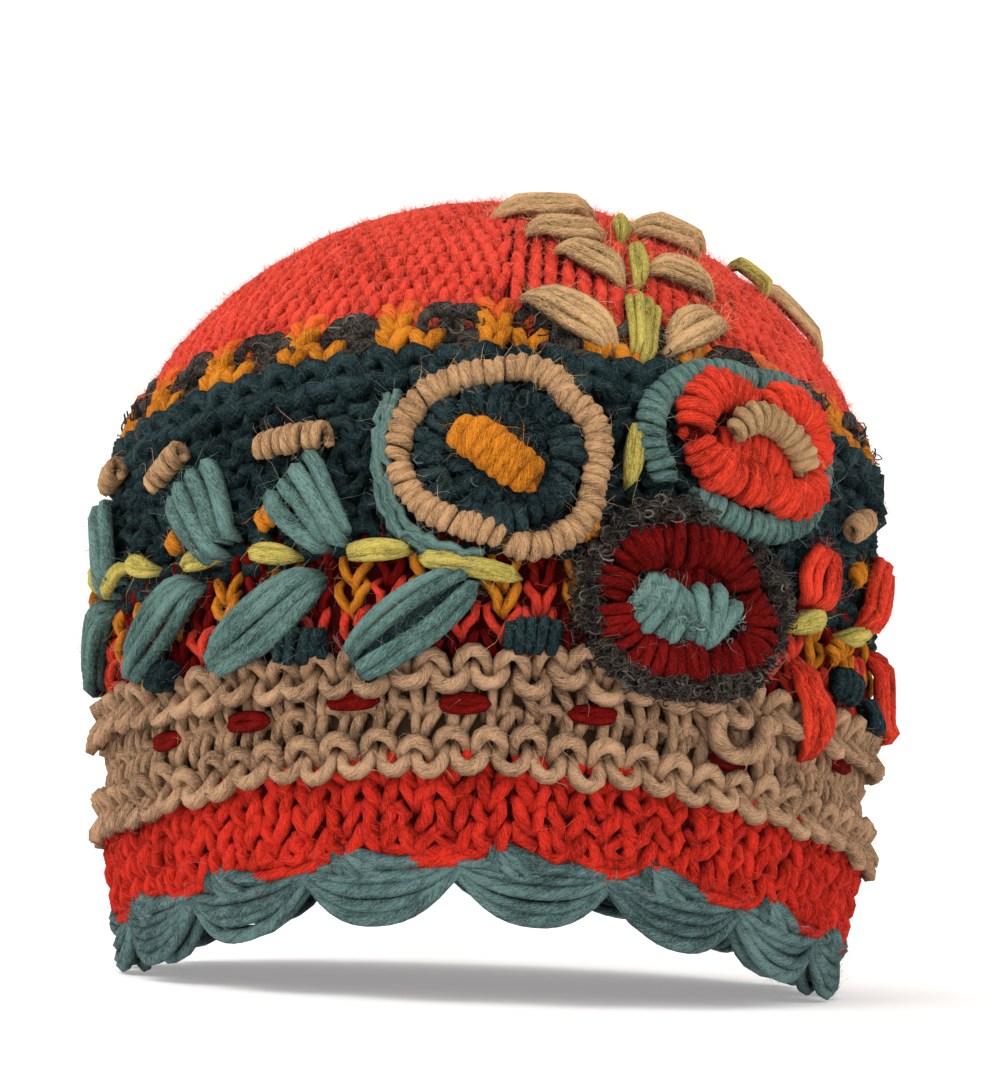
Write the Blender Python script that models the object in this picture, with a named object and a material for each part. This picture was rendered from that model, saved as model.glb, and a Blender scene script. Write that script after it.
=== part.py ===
"""Hand-knitted wool hat with a scalloped edge, coloured bands and stitched flowers and leaves.

Metres, +Z up. The front of the hat faces -Y, and the lowest scallops of its rim rest on z = 0.
A place on the hat is an angle in degrees, counted from the front towards +X, and a height in
the knitting: a band's name with a share of that band, 0 at its lower edge and 1 at its upper.
"""

import bisect
import math

import bmesh
import bpy
from mathutils import Vector

# Whole hat
HAT_HEIGHT = 0.1785
HALF_WIDTH = 0.0880
HALF_DEPTH = 0.0906
WALL = 0.0045
CROWN_LEAN = 0.0025
CLEARANCE = 0.0003

# Heights of the bands of knitting, measured up the side of the hat
SCALLOP_HEIGHT = 0.0105
RED_HEIGHT = 0.0205
GARTER_HEIGHT = 0.0270
COLOURWORK_HEIGHT = 0.0210
DARK_HEIGHT = 0.0380
FAIRISLE_HEIGHT = 0.0090

# Rim: it rises at the front and the back, and its scallops are cut up between one and the next
RIM_ARCH = 0.0180
RIM_SETTLE = 0.0015
SCALLOP_COUNT = 17
SCALLOP_NOTCH = 0.0070
SCALLOP_JOINT_ANGLE = -1.1

# Garter ridges, near both edges of the brown band
RIDGE_HEIGHT = 0.0022
RIDGE_INSET = 0.0025
RIDGE_HALF_WIDTH = 0.0038

# Large flower
LARGE_HALF_WIDTH = 0.0195
LARGE_RING_HALF = 0.0029
LARGE_RING_HEIGHT = 0.0058
LARGE_DISC_GAP = 0.0010
LARGE_DISC_HEIGHT = 0.0034
LARGE_CENTRE_LENGTH = 0.0225
LARGE_CENTRE_HALF = 0.0038
LARGE_CENTRE_HEIGHT = 0.0048
LARGE_CENTRE_TURN = -36

# Red flower
RED_EDGE_HALF_WIDTH = 0.0250
RED_EDGE_HALF = 0.0031
RED_EDGE_HEIGHT = 0.0052
RED_RING_HALF_WIDTH = 0.0145
RED_RING_HALF = 0.0041
RED_RING_HEIGHT = 0.0078
RED_CENTRE_LENGTH = 0.0155
RED_CENTRE_HALF = 0.0027
RED_CENTRE_HEIGHT = 0.0088
RED_CENTRE_TURN = -8
RED_CENTRE_BEND = 0.10

# Dark flower
DARK_EDGE_HALF_WIDTH = 0.0215
DARK_EDGE_HALF = 0.0029
DARK_EDGE_HEIGHT = 0.0060
DARK_RING_HALF_WIDTH = 0.0148
DARK_RING_HALF = 0.0029
DARK_RING_HEIGHT = 0.0068
DARK_CENTRE_LENGTH = 0.0190
DARK_CENTRE_HALF = 0.0046
DARK_CENTRE_HEIGHT = 0.0082
DARK_CENTRE_TURN = -8
DARK_CENTRE_BEND = -0.10

# Leaves, stems, knots and blocks: the half width and the height of each kind
CROWN_LEAF_HALF, CROWN_LEAF_HEIGHT = 0.0046, 0.0040
STEM_HALF, STEM_HEIGHT = 0.0024, 0.0032
FAN_HALF, FAN_HEIGHT = 0.0078, 0.0048
TEAL_LEAF_HALF, TEAL_LEAF_HEIGHT = 0.0056, 0.0056
RED_LEAF_HALF, RED_LEAF_HEIGHT = 0.0048, 0.0052
KNOT_HALF, KNOT_HEIGHT = 0.0034, 0.0052
BLOCK_HALF, BLOCK_HEIGHT = 0.0034, 0.0040
KNOT_LENGTH = 0.0170
BLOCK_LENGTH = 0.0125
TIP_RISE = 0.3  # height of a piece's two tips, as a share of its height
BED_REACH = 1.7  # how far the bed of a piece is raised beside a ridge, in half widths of the ridge

# Faces round a band, along a scallop, round a ring and between two rows of the side profile
BAND_SIDES = 48
SCALLOP_SIDES = 6
RING_SIDES = 26
PROFILE_STEPS = 8
SHARP_ANGLE = 40

# Side profile of the outer surface: share of HAT_HEIGHT, share of HALF_WIDTH
PROFILE = (
    (0.000, 0.907),
    (0.076, 0.938),
    (0.193, 0.977),
    (0.378, 0.995),
    (0.496, 1.000),
    (0.580, 0.998),
    (0.647, 0.984),
    (0.692, 0.961),
    (0.737, 0.925),
    (0.782, 0.875),
    (0.826, 0.807),
    (0.871, 0.718),
    (0.910, 0.618),
    (0.944, 0.507),
    (0.969, 0.391),
    (0.987, 0.268),
    (0.9965, 0.136),
    (1.000, 0.000),
)
LEAN_FROM = 0.56  # share of HAT_HEIGHT where the crown starts to lean

# Bands from the rim up: name, height, share of RIM_ARCH that its upper edge rises by
BANDS = (
    ("scallop", SCALLOP_HEIGHT, 0.99),
    ("red", RED_HEIGHT, 0.95),
    ("garter", GARTER_HEIGHT, 0.59),
    ("colourwork", COLOURWORK_HEIGHT, 0.61),
    ("dark", DARK_HEIGHT, 0.87),
    ("fairisle", FAIRISLE_HEIGHT, 0.93),
)
# Crown above them: share of its height, share of RIM_ARCH
CROWN_ARCH = ((0.25, 0.79), (0.50, 0.39), (1.00, 0.00))
# Rows of faces up the crown's outside and inside, as shares of its height
CROWN_ROWS = (0.0, 0.10, 0.20, 0.31, 0.42, 0.54, 0.68, 0.84)

# Cross-section of a ring, leaf or knot: share of its half width, share of its height
SECTION = (
    (0.00, 0.00),
    (0.60, 0.00),
    (1.00, 0.40),
    (0.55, 0.95),
    (-0.55, 0.95),
    (-1.00, 0.40),
    (-0.60, 0.00),
)

# Shapes along a piece: share of its length, share of its half width, share of its height
LEAF_SHAPE = ((0.04, 0.35, 0.55), (0.25, 0.82, 0.9), (0.5, 1.0, 1.0), (0.76, 0.85, 0.95), (0.96, 0.4, 0.6))
FAN_SHAPE = ((0.03, 0.3, 0.7), (0.3, 0.5, 0.9), (0.6, 0.8, 1.0), (0.85, 1.0, 0.95), (0.97, 0.85, 0.6))
BAR_SHAPE = ((0.03, 0.6, 0.6), (0.18, 1.0, 0.95), (0.5, 1.0, 1.0), (0.82, 1.0, 0.95), (0.97, 0.6, 0.6))
WEDGE_SHAPE = ((0.04, 0.4, 0.6), (0.35, 1.25, 1.0), (0.6, 1.5, 1.0), (0.85, 0.9, 0.95), (0.97, 0.5, 0.6))
# End of an open ring: share of its half width, share of its height
RING_END = (0.8, 0.85)
# Pad inside a ring, from its underside to its top: share of its outline, share of its height
PAD_SHAPE = (
    (0.00, 0.0),
    (0.35, 0.0),
    (0.70, 0.0),
    (0.96, 0.0),
    (1.00, 0.5),
    (0.90, 1.0),
    (0.45, 1.0),
    (0.00, 1.0),
)

# Outlines of the flowers: direction in degrees from the viewer's right, share of the half width
LARGE_OUTLINE = (
    (0, 0.98),
    (28, 1.02),
    (47, 0.95),
    (66, 1.01),
    (88, 0.96),
    (105, 0.88),
    (143, 1.03),
    (167, 1.01),
    (203, 1.01),
    (236, 0.87),
    (266, 0.90),
    (303, 0.95),
    (335, 1.00),
)
RED_EDGE_OUTLINE = (
    (12, 1.06),
    (30, 1.02),
    (48, 0.86),
    (76, 0.70),
    (109, 0.71),
    (143, 0.78),
    (171, 0.86),
    (192, 0.90),
    (212, 0.74),
    (243, 0.66),
    (276, 0.67),
    (303, 0.76),
    (330, 0.91),
    (352, 1.03),
)
RED_RING_OUTLINE = (
    (0, 1.10),
    (18, 1.14),
    (38, 0.97),
    (64, 0.69),
    (92, 0.63),
    (122, 0.75),
    (146, 0.88),
    (164, 1.01),
    (186, 1.10),
    (206, 0.94),
    (232, 0.76),
    (262, 0.68),
    (300, 0.77),
    (330, 0.96),
)
DARK_EDGE_OUTLINE = (
    (0, 0.97),
    (18, 0.88),
    (38, 0.76),
    (79, 0.75),
    (103, 0.81),
    (133, 0.90),
    (158, 1.00),
    (180, 1.01),
    (203, 1.03),
    (224, 0.98),
    (247, 0.90),
    (277, 0.84),
    (307, 0.90),
    (334, 0.97),
)
DARK_RING_OUTLINE = (
    (0, 0.90),
    (38, 0.76),
    (75, 0.67),
    (112, 0.72),
    (142, 0.90),
    (165, 1.02),
    (190, 1.05),
    (212, 1.02),
    (234, 0.93),
    (262, 0.82),
    (292, 0.80),
    (320, 0.90),
    (343, 0.96),
)
# Part of its outline that an open edge covers: start and end direction, in degrees
RED_EDGE_SPAN = (250, 575)
DARK_EDGE_SPAN = (79, 388)

# Where the flowers sit: angle, band, share of the band
LARGE_PLACE = (0.0, "dark", 0.43)
RED_EDGE_PLACE = (34.6, "dark", 0.68)
RED_RING_PLACE = (35.6, "dark", 0.70)
DARK_PLACE = (26.3, "colourwork", 0.76)

# Pieces along the crown's stems: name, base angle and share, tip angle and share, bend
CROWN_LEAVES = (
    ("crown_leaf_1_left", 16.6, -0.07, 2.0, 0.05, -0.06),
    ("crown_leaf_1_right", 23.4, -0.04, 36.5, 0.07, 0.10),
    ("crown_leaf_2_left", 20.5, 0.13, 8.5, 0.24, -0.06),
    ("crown_leaf_2_right", 25.0, 0.15, 39.0, 0.16, 0.14),
    ("crown_leaf_3_left", 21.0, 0.345, 2.0, 0.33, 0.05),
    ("crown_leaf_3_right", 30.0, 0.47, 51.0, 0.37, 0.06),
    ("crown_leaf_4_left", 24.0, 0.56, -9.0, 0.46, 0.04),
    ("crown_leaf_4_right", 50.0, 0.64, 70.0, 0.53, 0.06),
    ("side_leaf_1", 72.0, 0.42, 81.0, 0.20, 0.05),
    ("side_leaf_2", 83.0, 0.46, 101.0, 0.30, 0.06),
    ("side_leaf_3", 84.0, 0.64, 117.0, 0.47, 0.06),
)
# Name, base angle and share, tip angle and share, shape
STEMS = (
    ("stem_1", 19.6, -0.08, 21.8, 0.08, WEDGE_SHAPE),
    ("stem_2", 22.3, 0.13, 25.5, 0.30, BAR_SHAPE),
    ("stem_3", 24.0, 0.34, 27.5, 0.47, BAR_SHAPE),
    ("side_stem", 66.0, 0.34, 66.5, 0.46, BAR_SHAPE),
)
# Leaves and fans round the sides: name, base angle, band and share, tip angle, band and share
TEAL_FANS = (
    ("teal_fan_1", -67.0, "dark", 0.14, -75.0, "dark", 0.62),
    ("teal_fan_2", -37.0, "dark", 0.12, -43.5, "dark", 0.62),
    ("teal_fan_3", -20.6, "dark", 0.08, -27.5, "dark", 0.52),
)
TEAL_LEAVES = (
    ("teal_leaf_1", -86.0, "colourwork", 0.30, -72.0, "dark", 0.02),
    ("teal_leaf_2", -58.0, "colourwork", 0.18, -43.5, "colourwork", 0.95),
    ("teal_leaf_3", -38.5, "colourwork", 0.06, -23.0, "colourwork", 0.80),
    ("teal_leaf_4", -17.0, "garter", 0.93, -2.5, "colourwork", 0.74),
)
RED_FANS = (
    ("red_fan_1", 48.0, "colourwork", 0.98, 51.0, "dark", 0.34),
    ("red_fan_2", 65.0, "dark", 0.02, 73.0, "dark", 0.46),
)
RED_LEAVES = (
    ("red_leaf_1", 45.8, "colourwork", 0.46, 49.0, "garter", 0.56),
    ("red_leaf_2", 72.0, "colourwork", 0.85, 80.0, "garter", 0.98),
)
# Knots and blocks: name, angle, band, share of the band, share of the kind's length, turn in degrees
KNOTS = (
    ("knot_1", -71.0, "dark", 0.86, 0.76, 14),
    ("knot_2", -53.0, "dark", 0.66, 0.76, 35),
    ("knot_3", -27.5, "dark", 0.65, 1.00, 8),
    ("knot_4", 60.5, "dark", 0.55, 0.71, 20),
)
BLOCKS = (
    ("block_1", -48.0, "colourwork", 0.06, 0.64, 0),
    ("block_2", -24.4, "colourwork", 0.15, 0.68, 10),
    ("block_3", 5.4, "colourwork", 0.22, 1.00, 3),
    ("block_4", 57.5, "colourwork", 0.34, 0.96, -8),
    ("block_5", 67.5, "colourwork", 0.14, 0.88, -8),
)

# Colours, as linear red, green and blue
RED = (0.62, 0.055, 0.030)
DEEP_RED = (0.50, 0.028, 0.014)
BROWN = (0.40, 0.26, 0.16)
TAN = (0.45, 0.29, 0.14)
TEAL = (0.105, 0.225, 0.215)
DARK_TEAL = (0.018, 0.045, 0.050)
AMBER = (0.66, 0.21, 0.015)
CHARCOAL = (0.055, 0.042, 0.036)
MAROON = (0.130, 0.006, 0.006)
LIME = (0.50, 0.47, 0.10)
COLOURS = {
    "red_wool": RED,
    "deep_red_wool": DEEP_RED,
    "brown_wool": BROWN,
    "tan_wool": TAN,
    "teal_wool": TEAL,
    "dark_teal_wool": DARK_TEAL,
    "amber_wool": AMBER,
    "charcoal_wool": CHARCOAL,
    "maroon_wool": MAROON,
    "lime_wool": LIME,
}
WOOL_ROUGHNESS = 0.9


def clear_scene():
    for existing in list(bpy.data.objects):
        bpy.data.objects.remove(existing, do_unlink=True)


def wool(name):
    """The material of this colour of wool, made once."""
    found = bpy.data.materials.get(name)
    if found:
        return found
    material = bpy.data.materials.new(name)
    material.use_nodes = True
    shader = material.node_tree.nodes["Principled BSDF"]
    shader.inputs["Base Color"].default_value = (*COLOURS[name], 1.0)
    shader.inputs["Roughness"].default_value = WOOL_ROUGHNESS
    shader.inputs["Metallic"].default_value = 0.0
    return material


def between(p0, p1, p2, p3, t):
    """Catmull-Rom point, t of the way from p1 to p2."""
    return tuple(
        0.5 * (2 * b + (c - a) * t + (2 * a - 5 * b + 4 * c - d) * t**2 + (3 * b - a - 3 * c + d) * t**3)
        for a, b, c, d in zip(p0, p1, p2, p3)
    )


def interpolate(value, table):
    """Straight interpolation in rows of (value, result)."""
    keys = [row[0] for row in table]
    index = min(max(bisect.bisect_right(keys, value), 1), len(table) - 1)
    (low, first), (high, second) = table[index - 1], table[index]
    share = min(max((value - low) / (high - low), 0.0), 1.0)
    return first + (second - first) * share


def side_profile():
    """Rows of (length up the side, height) and (length up the side, radius share)."""
    rows = [(height * HAT_HEIGHT, width * HALF_WIDTH) for height, width in PROFILE]
    below = tuple(2 * a - b for a, b in zip(rows[0], rows[1]))
    beyond = (rows[-2][0], -rows[-2][1])
    padded = [below, *rows, beyond]
    dense = []
    for index in range(1, len(padded) - 2):
        for step in range(PROFILE_STEPS):
            dense.append(between(*padded[index - 1 : index + 3], step / PROFILE_STEPS))
    dense.append(rows[-1])
    heights, radii, length = [], [], 0.0
    for index, (height, radius) in enumerate(dense):
        if index:
            length += math.hypot(height - dense[index - 1][0], radius - dense[index - 1][1])
        heights.append((length, height))
        radii.append((length, radius / HALF_WIDTH))
    return heights, radii


HEIGHTS, RADII = side_profile()
SIDE_LENGTH = HEIGHTS[-1][0]


def band_edges():
    """Rows of (level, rise), and each band's lower level and height. A level is a length up the side."""
    rises, spans, level = [(0.0, RIM_ARCH)], {}, 0.0
    for name, height, share in BANDS:
        spans[name] = (level, height)
        level += height
        rises.append((level, share * RIM_ARCH))
    crown_height = SIDE_LENGTH - level
    spans["crown"] = (level, crown_height)
    rises += [(level + part * crown_height, share * RIM_ARCH) for part, share in CROWN_ARCH]
    return rises, spans


RISES, SPANS = band_edges()


def level_at(band, share):
    low, height = SPANS[band]
    return low + share * height


def length_at(angle, level):
    """Length up the surface of a level of the knitting, which rises at the front and the back."""
    return level + interpolate(level, RISES) * math.cos(angle) ** 2


def level_of(angle, length):
    """The level of the knitting at a length up the surface: length_at the other way round."""
    rounds = 30
    level = length
    for _ in range(rounds):
        level = length - interpolate(level, RISES) * math.cos(angle) ** 2
    return level


def on_profile(angle, length):
    height = interpolate(length, HEIGHTS)
    radius = interpolate(length, RADII)
    lean = max((height / HAT_HEIGHT - LEAN_FROM) / (1 - LEAN_FROM), 0.0) ** 2 * CROWN_LEAN
    x = HALF_WIDTH * radius * math.sin(angle) + lean
    return Vector((x, -HALF_DEPTH * radius * math.cos(angle), height))


def outward(angle, length):
    """Unit normal of the outer surface."""
    length = min(length, SIDE_LENGTH - WALL)
    rise = WALL / 3
    turn = rise / HALF_DEPTH
    across = on_profile(angle + turn, length) - on_profile(angle - turn, length)
    along = on_profile(angle, length + rise) - on_profile(angle, length - rise)
    return across.cross(along).normalized()


def surface(angle, length, out=0.0):
    """The point at this angle and length, this far out of the surface and never under the floor."""
    point = on_profile(angle, length) + out * outward(angle, length)
    point.z = max(point.z, 0.0)
    return point


def from_ridge(level):
    """Distance from the middle of the nearer garter ridge, in half widths of a ridge."""
    low, height = SPANS["garter"]
    away = min(abs(level - low - RIDGE_INSET), abs(level - low - height + RIDGE_INSET))
    return away / RIDGE_HALF_WIDTH


def ridge(level):
    """How far the garter ridges stand proud at this level."""
    return RIDGE_HEIGHT * max(1 - from_ridge(level) ** 2, 0.0)


def seat(angle, length):
    """Height of the bed that a stitched piece lies on: over the ridges, and wider than they are."""
    share = min(max(BED_REACH - from_ridge(level_of(angle, length)), 0.0), 1.0)
    return RIDGE_HEIGHT * share + CLEARANCE


def on_seat(origin, x, y, out):
    """A point of a stitched piece: x to the viewer's right, y up the hat, out from its bed."""
    angle, length = origin
    y_length = min(length + y, SIDE_LENGTH - WALL)
    around = HALF_WIDTH * max(interpolate(y_length, RADII), WALL / HALF_WIDTH)
    angle += x / around
    return surface(angle, y_length, seat(angle, y_length) + out)


def place(angle_degrees, band, share):
    """(angle, length) of a place on the hat."""
    angle = math.radians(angle_degrees)
    return angle, length_at(angle, level_at(band, share))


def add_object(name, slot, shape):
    mesh = bpy.data.meshes.new(name)
    bmesh.ops.recalc_face_normals(shape, faces=shape.faces)
    shape.to_mesh(mesh)
    shape.free()
    mesh.materials.append(wool(slot))
    mesh.shade_smooth()
    mesh.set_sharp_from_angle(angle=math.radians(SHARP_ANGLE))
    node = bpy.data.objects.new(name, mesh)
    bpy.context.collection.objects.link(node)
    return node


def skin(shape, loops, joined=False):
    """Faces between neighbouring loops of points. joined also closes the last loop to the first."""
    rings = [[shape.verts.new(point) for point in loop] for loop in loops]
    pairs = list(zip(rings, rings[1:]))
    if joined:
        pairs.append((rings[-1], rings[0]))
    for first, second in pairs:
        count = max(len(first), len(second))
        for index in range(count):
            following = (index + 1) % count
            corners = [first[index % len(first)], first[following % len(first)]]
            corners += [second[following % len(second)], second[index % len(second)]]
            shape.faces.new(list(dict.fromkeys(corners)))


def band_angles(sides):
    start = math.radians(SCALLOP_JOINT_ANGLE)
    return [start + math.tau * index / sides for index in range(sides)]


def level_loop(level, out, sides=BAND_SIDES):
    return [surface(angle, length_at(angle, level), out) for angle in band_angles(sides)]


def band(name, slot, band_name, rows, proud=None):
    """A ring of knitting between two levels, with rows of faces at these shares of its height."""
    low, height = SPANS[band_name]
    low, height = low + CLEARANCE / 2, height - CLEARANCE
    levels = [low + share * height for share in rows]
    outside = [level_loop(level, proud(level) if proud else 0.0) for level in levels]
    inside = [level_loop(level, -WALL) for level in (levels[-1], levels[0])]
    shape = bmesh.new()
    skin(shape, outside + inside, joined=True)
    return add_object(name, slot, shape)


def garter_rows():
    """Rows that follow both ridges of the brown band."""
    inset, foot = RIDGE_INSET / GARTER_HEIGHT, (RIDGE_INSET + RIDGE_HALF_WIDTH) / GARTER_HEIGHT
    shoulder = (inset + foot) / 2
    lower = (0.0, inset, shoulder, foot)
    return lower + tuple(1 - share for share in reversed(lower))


def crown():
    """The dome above the bands, closed at its top and open below."""
    low, height = SPANS["crown"]
    low, height = low + CLEARANCE / 2, height - CLEARANCE / 2
    levels = [low + share * height for share in CROWN_ROWS]
    outside = [level_loop(level, 0.0) for level in levels]
    inside = [level_loop(level, -WALL) for level in levels]
    top = on_profile(0.0, SIDE_LENGTH)
    under = top - Vector((0.0, 0.0, WALL))
    shape = bmesh.new()
    skin(shape, [[under], *reversed(inside), *outside, [top]])
    return add_object("crown", "red_wool", shape)


def rim_length(angle, level):
    """Length of the rim's edge: it sinks a little, so that the side scallops rest flat."""
    settle = RIM_SETTLE * (1 - level / SCALLOP_HEIGHT)
    return length_at(angle, level) - settle


def scallop_level(angle):
    """Lower edge of the scallops: a round tongue between each joint and the next."""
    turn = (angle - math.radians(SCALLOP_JOINT_ANGLE)) / math.tau * SCALLOP_COUNT
    across = 2 * (turn % 1.0) - 1
    return SCALLOP_NOTCH * abs(across) ** 3


def scallop_edge():
    angles = band_angles(SCALLOP_COUNT * SCALLOP_SIDES)
    top = SCALLOP_HEIGHT - CLEARANCE / 2
    loops = []
    for share, out in ((0.0, 0.0), (0.5, 0.0), (1.0, 0.0), (1.0, -WALL), (0.0, -WALL)):
        loop = []
        for angle in angles:
            low = scallop_level(angle)
            level = low + share * (top - low)
            loop.append(surface(angle, rim_length(angle, level), out))
        loops.append(loop)
    for outer, inner in zip(loops[0], loops[-1]):
        inner.z = outer.z
    shape = bmesh.new()
    skin(shape, loops, joined=True)
    return add_object("scallop_edge", "teal_wool", shape)


def outline_point(outline, turn):
    """Share of the half width in this direction, smoothly through the outline's rows."""
    degrees = math.degrees(turn) % 360
    rows = [(outline[-1][0] - 360, outline[-1][1]), *outline]
    rows += [(direction + 360, share) for direction, share in outline[:3]]
    rows.insert(0, (outline[-2][0] - 360, outline[-2][1]))
    index = next(i for i in range(1, len(rows) - 2) if rows[i][0] <= degrees < rows[i + 1][0])
    part = (degrees - rows[index][0]) / (rows[index + 1][0] - rows[index][0])
    shares = [(row[1],) for row in rows[index - 1 : index + 3]]
    return between(*shares, part)[0]


def outline_points(outline, half_width, sides):
    points = []
    for index in range(sides):
        turn = math.tau * index / sides
        reach = half_width * outline_point(outline, turn)
        points.append(Vector((reach * math.cos(turn), reach * math.sin(turn))))
    return points


def section_loop(origin, middle, side, half, height, lift=0.0):
    """One cross-section of a stitched piece: side is the direction across it, in the bed's plane."""
    loop = []
    for across, up in SECTION:
        point = middle + side * half * across
        loop.append(on_seat(origin, point.x, point.y, lift + height * up))
    return loop


def ring(name, slot, spot, outline, half_width, half, height, sides=RING_SIDES):
    """A closed roll of wool along a flower's outline."""
    origin = place(*spot)
    middles = outline_points(outline, half_width, sides)
    loops = []
    for index, middle in enumerate(middles):
        along = middles[(index + 1) % sides] - middles[index - 1]
        side = Vector((along.y, -along.x)).normalized()
        loops.append(section_loop(origin, middle, side, half, height))
    shape = bmesh.new()
    skin(shape, loops, joined=True)
    return add_object(name, slot, shape)


def open_ring(name, slot, spot, outline, half_width, half, height, span):
    """A roll of wool along part of a flower's outline, with rounded ends."""
    start, end = (math.radians(direction) for direction in span)

    def path(share):
        turn = start + (end - start) * share
        reach = half_width * outline_point(outline, turn)
        return reach * math.cos(turn), reach * math.sin(turn)

    shape_rows = [(1 / RING_SIDES, *RING_END)]
    shape_rows += [(index / RING_SIDES, 1.0, 1.0) for index in range(2, RING_SIDES - 1)]
    shape_rows.append((1 - 1 / RING_SIDES, *RING_END))
    return roll(name, slot, place(*spot), path, half, height, shape_rows)


def disc(name, slot, spot, outline, half_width, height):
    """A low pad inside a flower's ring, its underside following the hat."""
    origin = place(*spot)
    edge = outline_points(outline, half_width, RING_SIDES)
    loops = []
    for share, up in PAD_SHAPE:
        points = edge[:1] if share == 0.0 else edge
        loops.append([on_seat(origin, share * point.x, share * point.y, up * height) for point in points])
    shape = bmesh.new()
    skin(shape, loops)
    return add_object(name, slot, shape)


def roll(name, slot, origin, path, half, height, shape_rows, lift=0.0):
    """A leaf, stem or knot along a path: path(share) is its middle line, in the bed's plane."""
    nearby = 0.01
    tip = lift + height * TIP_RISE
    loops = [[on_seat(origin, *path(0.0), tip)]]
    for share, wide, tall in shape_rows:
        middle = Vector(path(share))
        along = Vector(path(share + nearby)) - Vector(path(share - nearby))
        side = Vector((along.y, -along.x)).normalized()
        loops.append(section_loop(origin, middle, side, half * wide, height * tall, lift))
    loops.append([on_seat(origin, *path(1.0), tip)])
    shape = bmesh.new()
    skin(shape, loops)
    return add_object(name, slot, shape)


def bent_line(start, end, bend):
    """Path from start to end that bows to one side by this share of its length."""
    start, end = Vector(start), Vector(end)
    along = end - start
    side = Vector((-along.y, along.x)) * bend

    def path(share):
        middle = start + along * share + side * 4 * share * (1 - share)
        return middle.x, middle.y

    return path


def between_places(base, tip):
    """(origin, end) of a piece from one place on the hat to another, in the bed's plane."""
    base_angle, base_length = place(*base)
    tip_angle, tip_length = place(*tip)
    middle_length = (base_length + tip_length) / 2
    around = HALF_WIDTH * interpolate(middle_length, RADII)
    origin = ((base_angle + tip_angle) / 2, middle_length)
    reach = Vector(((tip_angle - base_angle) * around, tip_length - base_length))
    return origin, reach / 2


def leaf(name, slot, base, tip, half, height, shape_rows, bend=0.0):
    origin, half_reach = between_places(base, tip)
    path = bent_line(-half_reach, half_reach, bend)
    return roll(name, slot, origin, path, half, height, shape_rows)


def bar(name, slot, spot, length, turn_degrees, half, height, bend=0.0, lift=0.0):
    turn = math.radians(turn_degrees)
    end = Vector((math.cos(turn), math.sin(turn))) * length / 2
    return roll(name, slot, place(*spot), bent_line(-end, end, bend), half, height, BAR_SHAPE, lift)


def bands():
    band("red_band", "deep_red_wool", "red", (0.0, 0.5, 1.0))
    band("garter_band", "brown_wool", "garter", garter_rows(), ridge)
    band("colourwork_band", "maroon_wool", "colourwork", (0.0, 0.5, 1.0))
    band("dark_band", "dark_teal_wool", "dark", (0.0, 0.33, 0.67, 1.0))
    band("fairisle_band", "charcoal_wool", "fairisle", (0.0, 1.0))


def large_flower():
    ring_size = (LARGE_HALF_WIDTH, LARGE_RING_HALF, LARGE_RING_HEIGHT)
    ring("large_flower_ring", "tan_wool", LARGE_PLACE, LARGE_OUTLINE, *ring_size)
    inside = LARGE_HALF_WIDTH - LARGE_RING_HALF - LARGE_DISC_GAP
    disc("large_flower_disc", "dark_teal_wool", LARGE_PLACE, LARGE_OUTLINE, inside, LARGE_DISC_HEIGHT)
    lift = LARGE_DISC_HEIGHT + CLEARANCE
    size = (LARGE_CENTRE_LENGTH, LARGE_CENTRE_TURN, LARGE_CENTRE_HALF, LARGE_CENTRE_HEIGHT)
    bar("large_flower_centre", "amber_wool", LARGE_PLACE, *size, lift=lift)


def red_flower():
    edge_size = (RED_EDGE_HALF_WIDTH, RED_EDGE_HALF, RED_EDGE_HEIGHT)
    open_ring("red_flower_edge", "teal_wool", RED_EDGE_PLACE, RED_EDGE_OUTLINE, *edge_size, RED_EDGE_SPAN)
    ring_size = (RED_RING_HALF_WIDTH, RED_RING_HALF, RED_RING_HEIGHT)
    ring("red_flower_ring", "deep_red_wool", RED_RING_PLACE, RED_RING_OUTLINE, *ring_size)
    size = (RED_CENTRE_LENGTH, RED_CENTRE_TURN, RED_CENTRE_HALF, RED_CENTRE_HEIGHT)
    bar("red_flower_centre", "tan_wool", RED_RING_PLACE, *size, bend=RED_CENTRE_BEND)


def dark_flower():
    edge_size = (DARK_EDGE_HALF_WIDTH, DARK_EDGE_HALF, DARK_EDGE_HEIGHT)
    open_ring("dark_flower_edge", "charcoal_wool", DARK_PLACE, DARK_EDGE_OUTLINE, *edge_size, DARK_EDGE_SPAN)
    ring_size = (DARK_RING_HALF_WIDTH, DARK_RING_HALF, DARK_RING_HEIGHT)
    ring("dark_flower_ring", "maroon_wool", DARK_PLACE, DARK_RING_OUTLINE, *ring_size)
    size = (DARK_CENTRE_LENGTH, DARK_CENTRE_TURN, DARK_CENTRE_HALF, DARK_CENTRE_HEIGHT)
    bar("dark_flower_centre", "teal_wool", DARK_PLACE, *size, bend=DARK_CENTRE_BEND)


def crown_leaves():
    for name, base_angle, base_share, tip_angle, tip_share, bend in CROWN_LEAVES:
        base, tip = (base_angle, "crown", base_share), (tip_angle, "crown", tip_share)
        leaf(name, "tan_wool", base, tip, CROWN_LEAF_HALF, CROWN_LEAF_HEIGHT, LEAF_SHAPE, bend)
    for name, base_angle, base_share, tip_angle, tip_share, shape_rows in STEMS:
        base, tip = (base_angle, "crown", base_share), (tip_angle, "crown", tip_share)
        leaf(name, "lime_wool", base, tip, STEM_HALF, STEM_HEIGHT, shape_rows)


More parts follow.
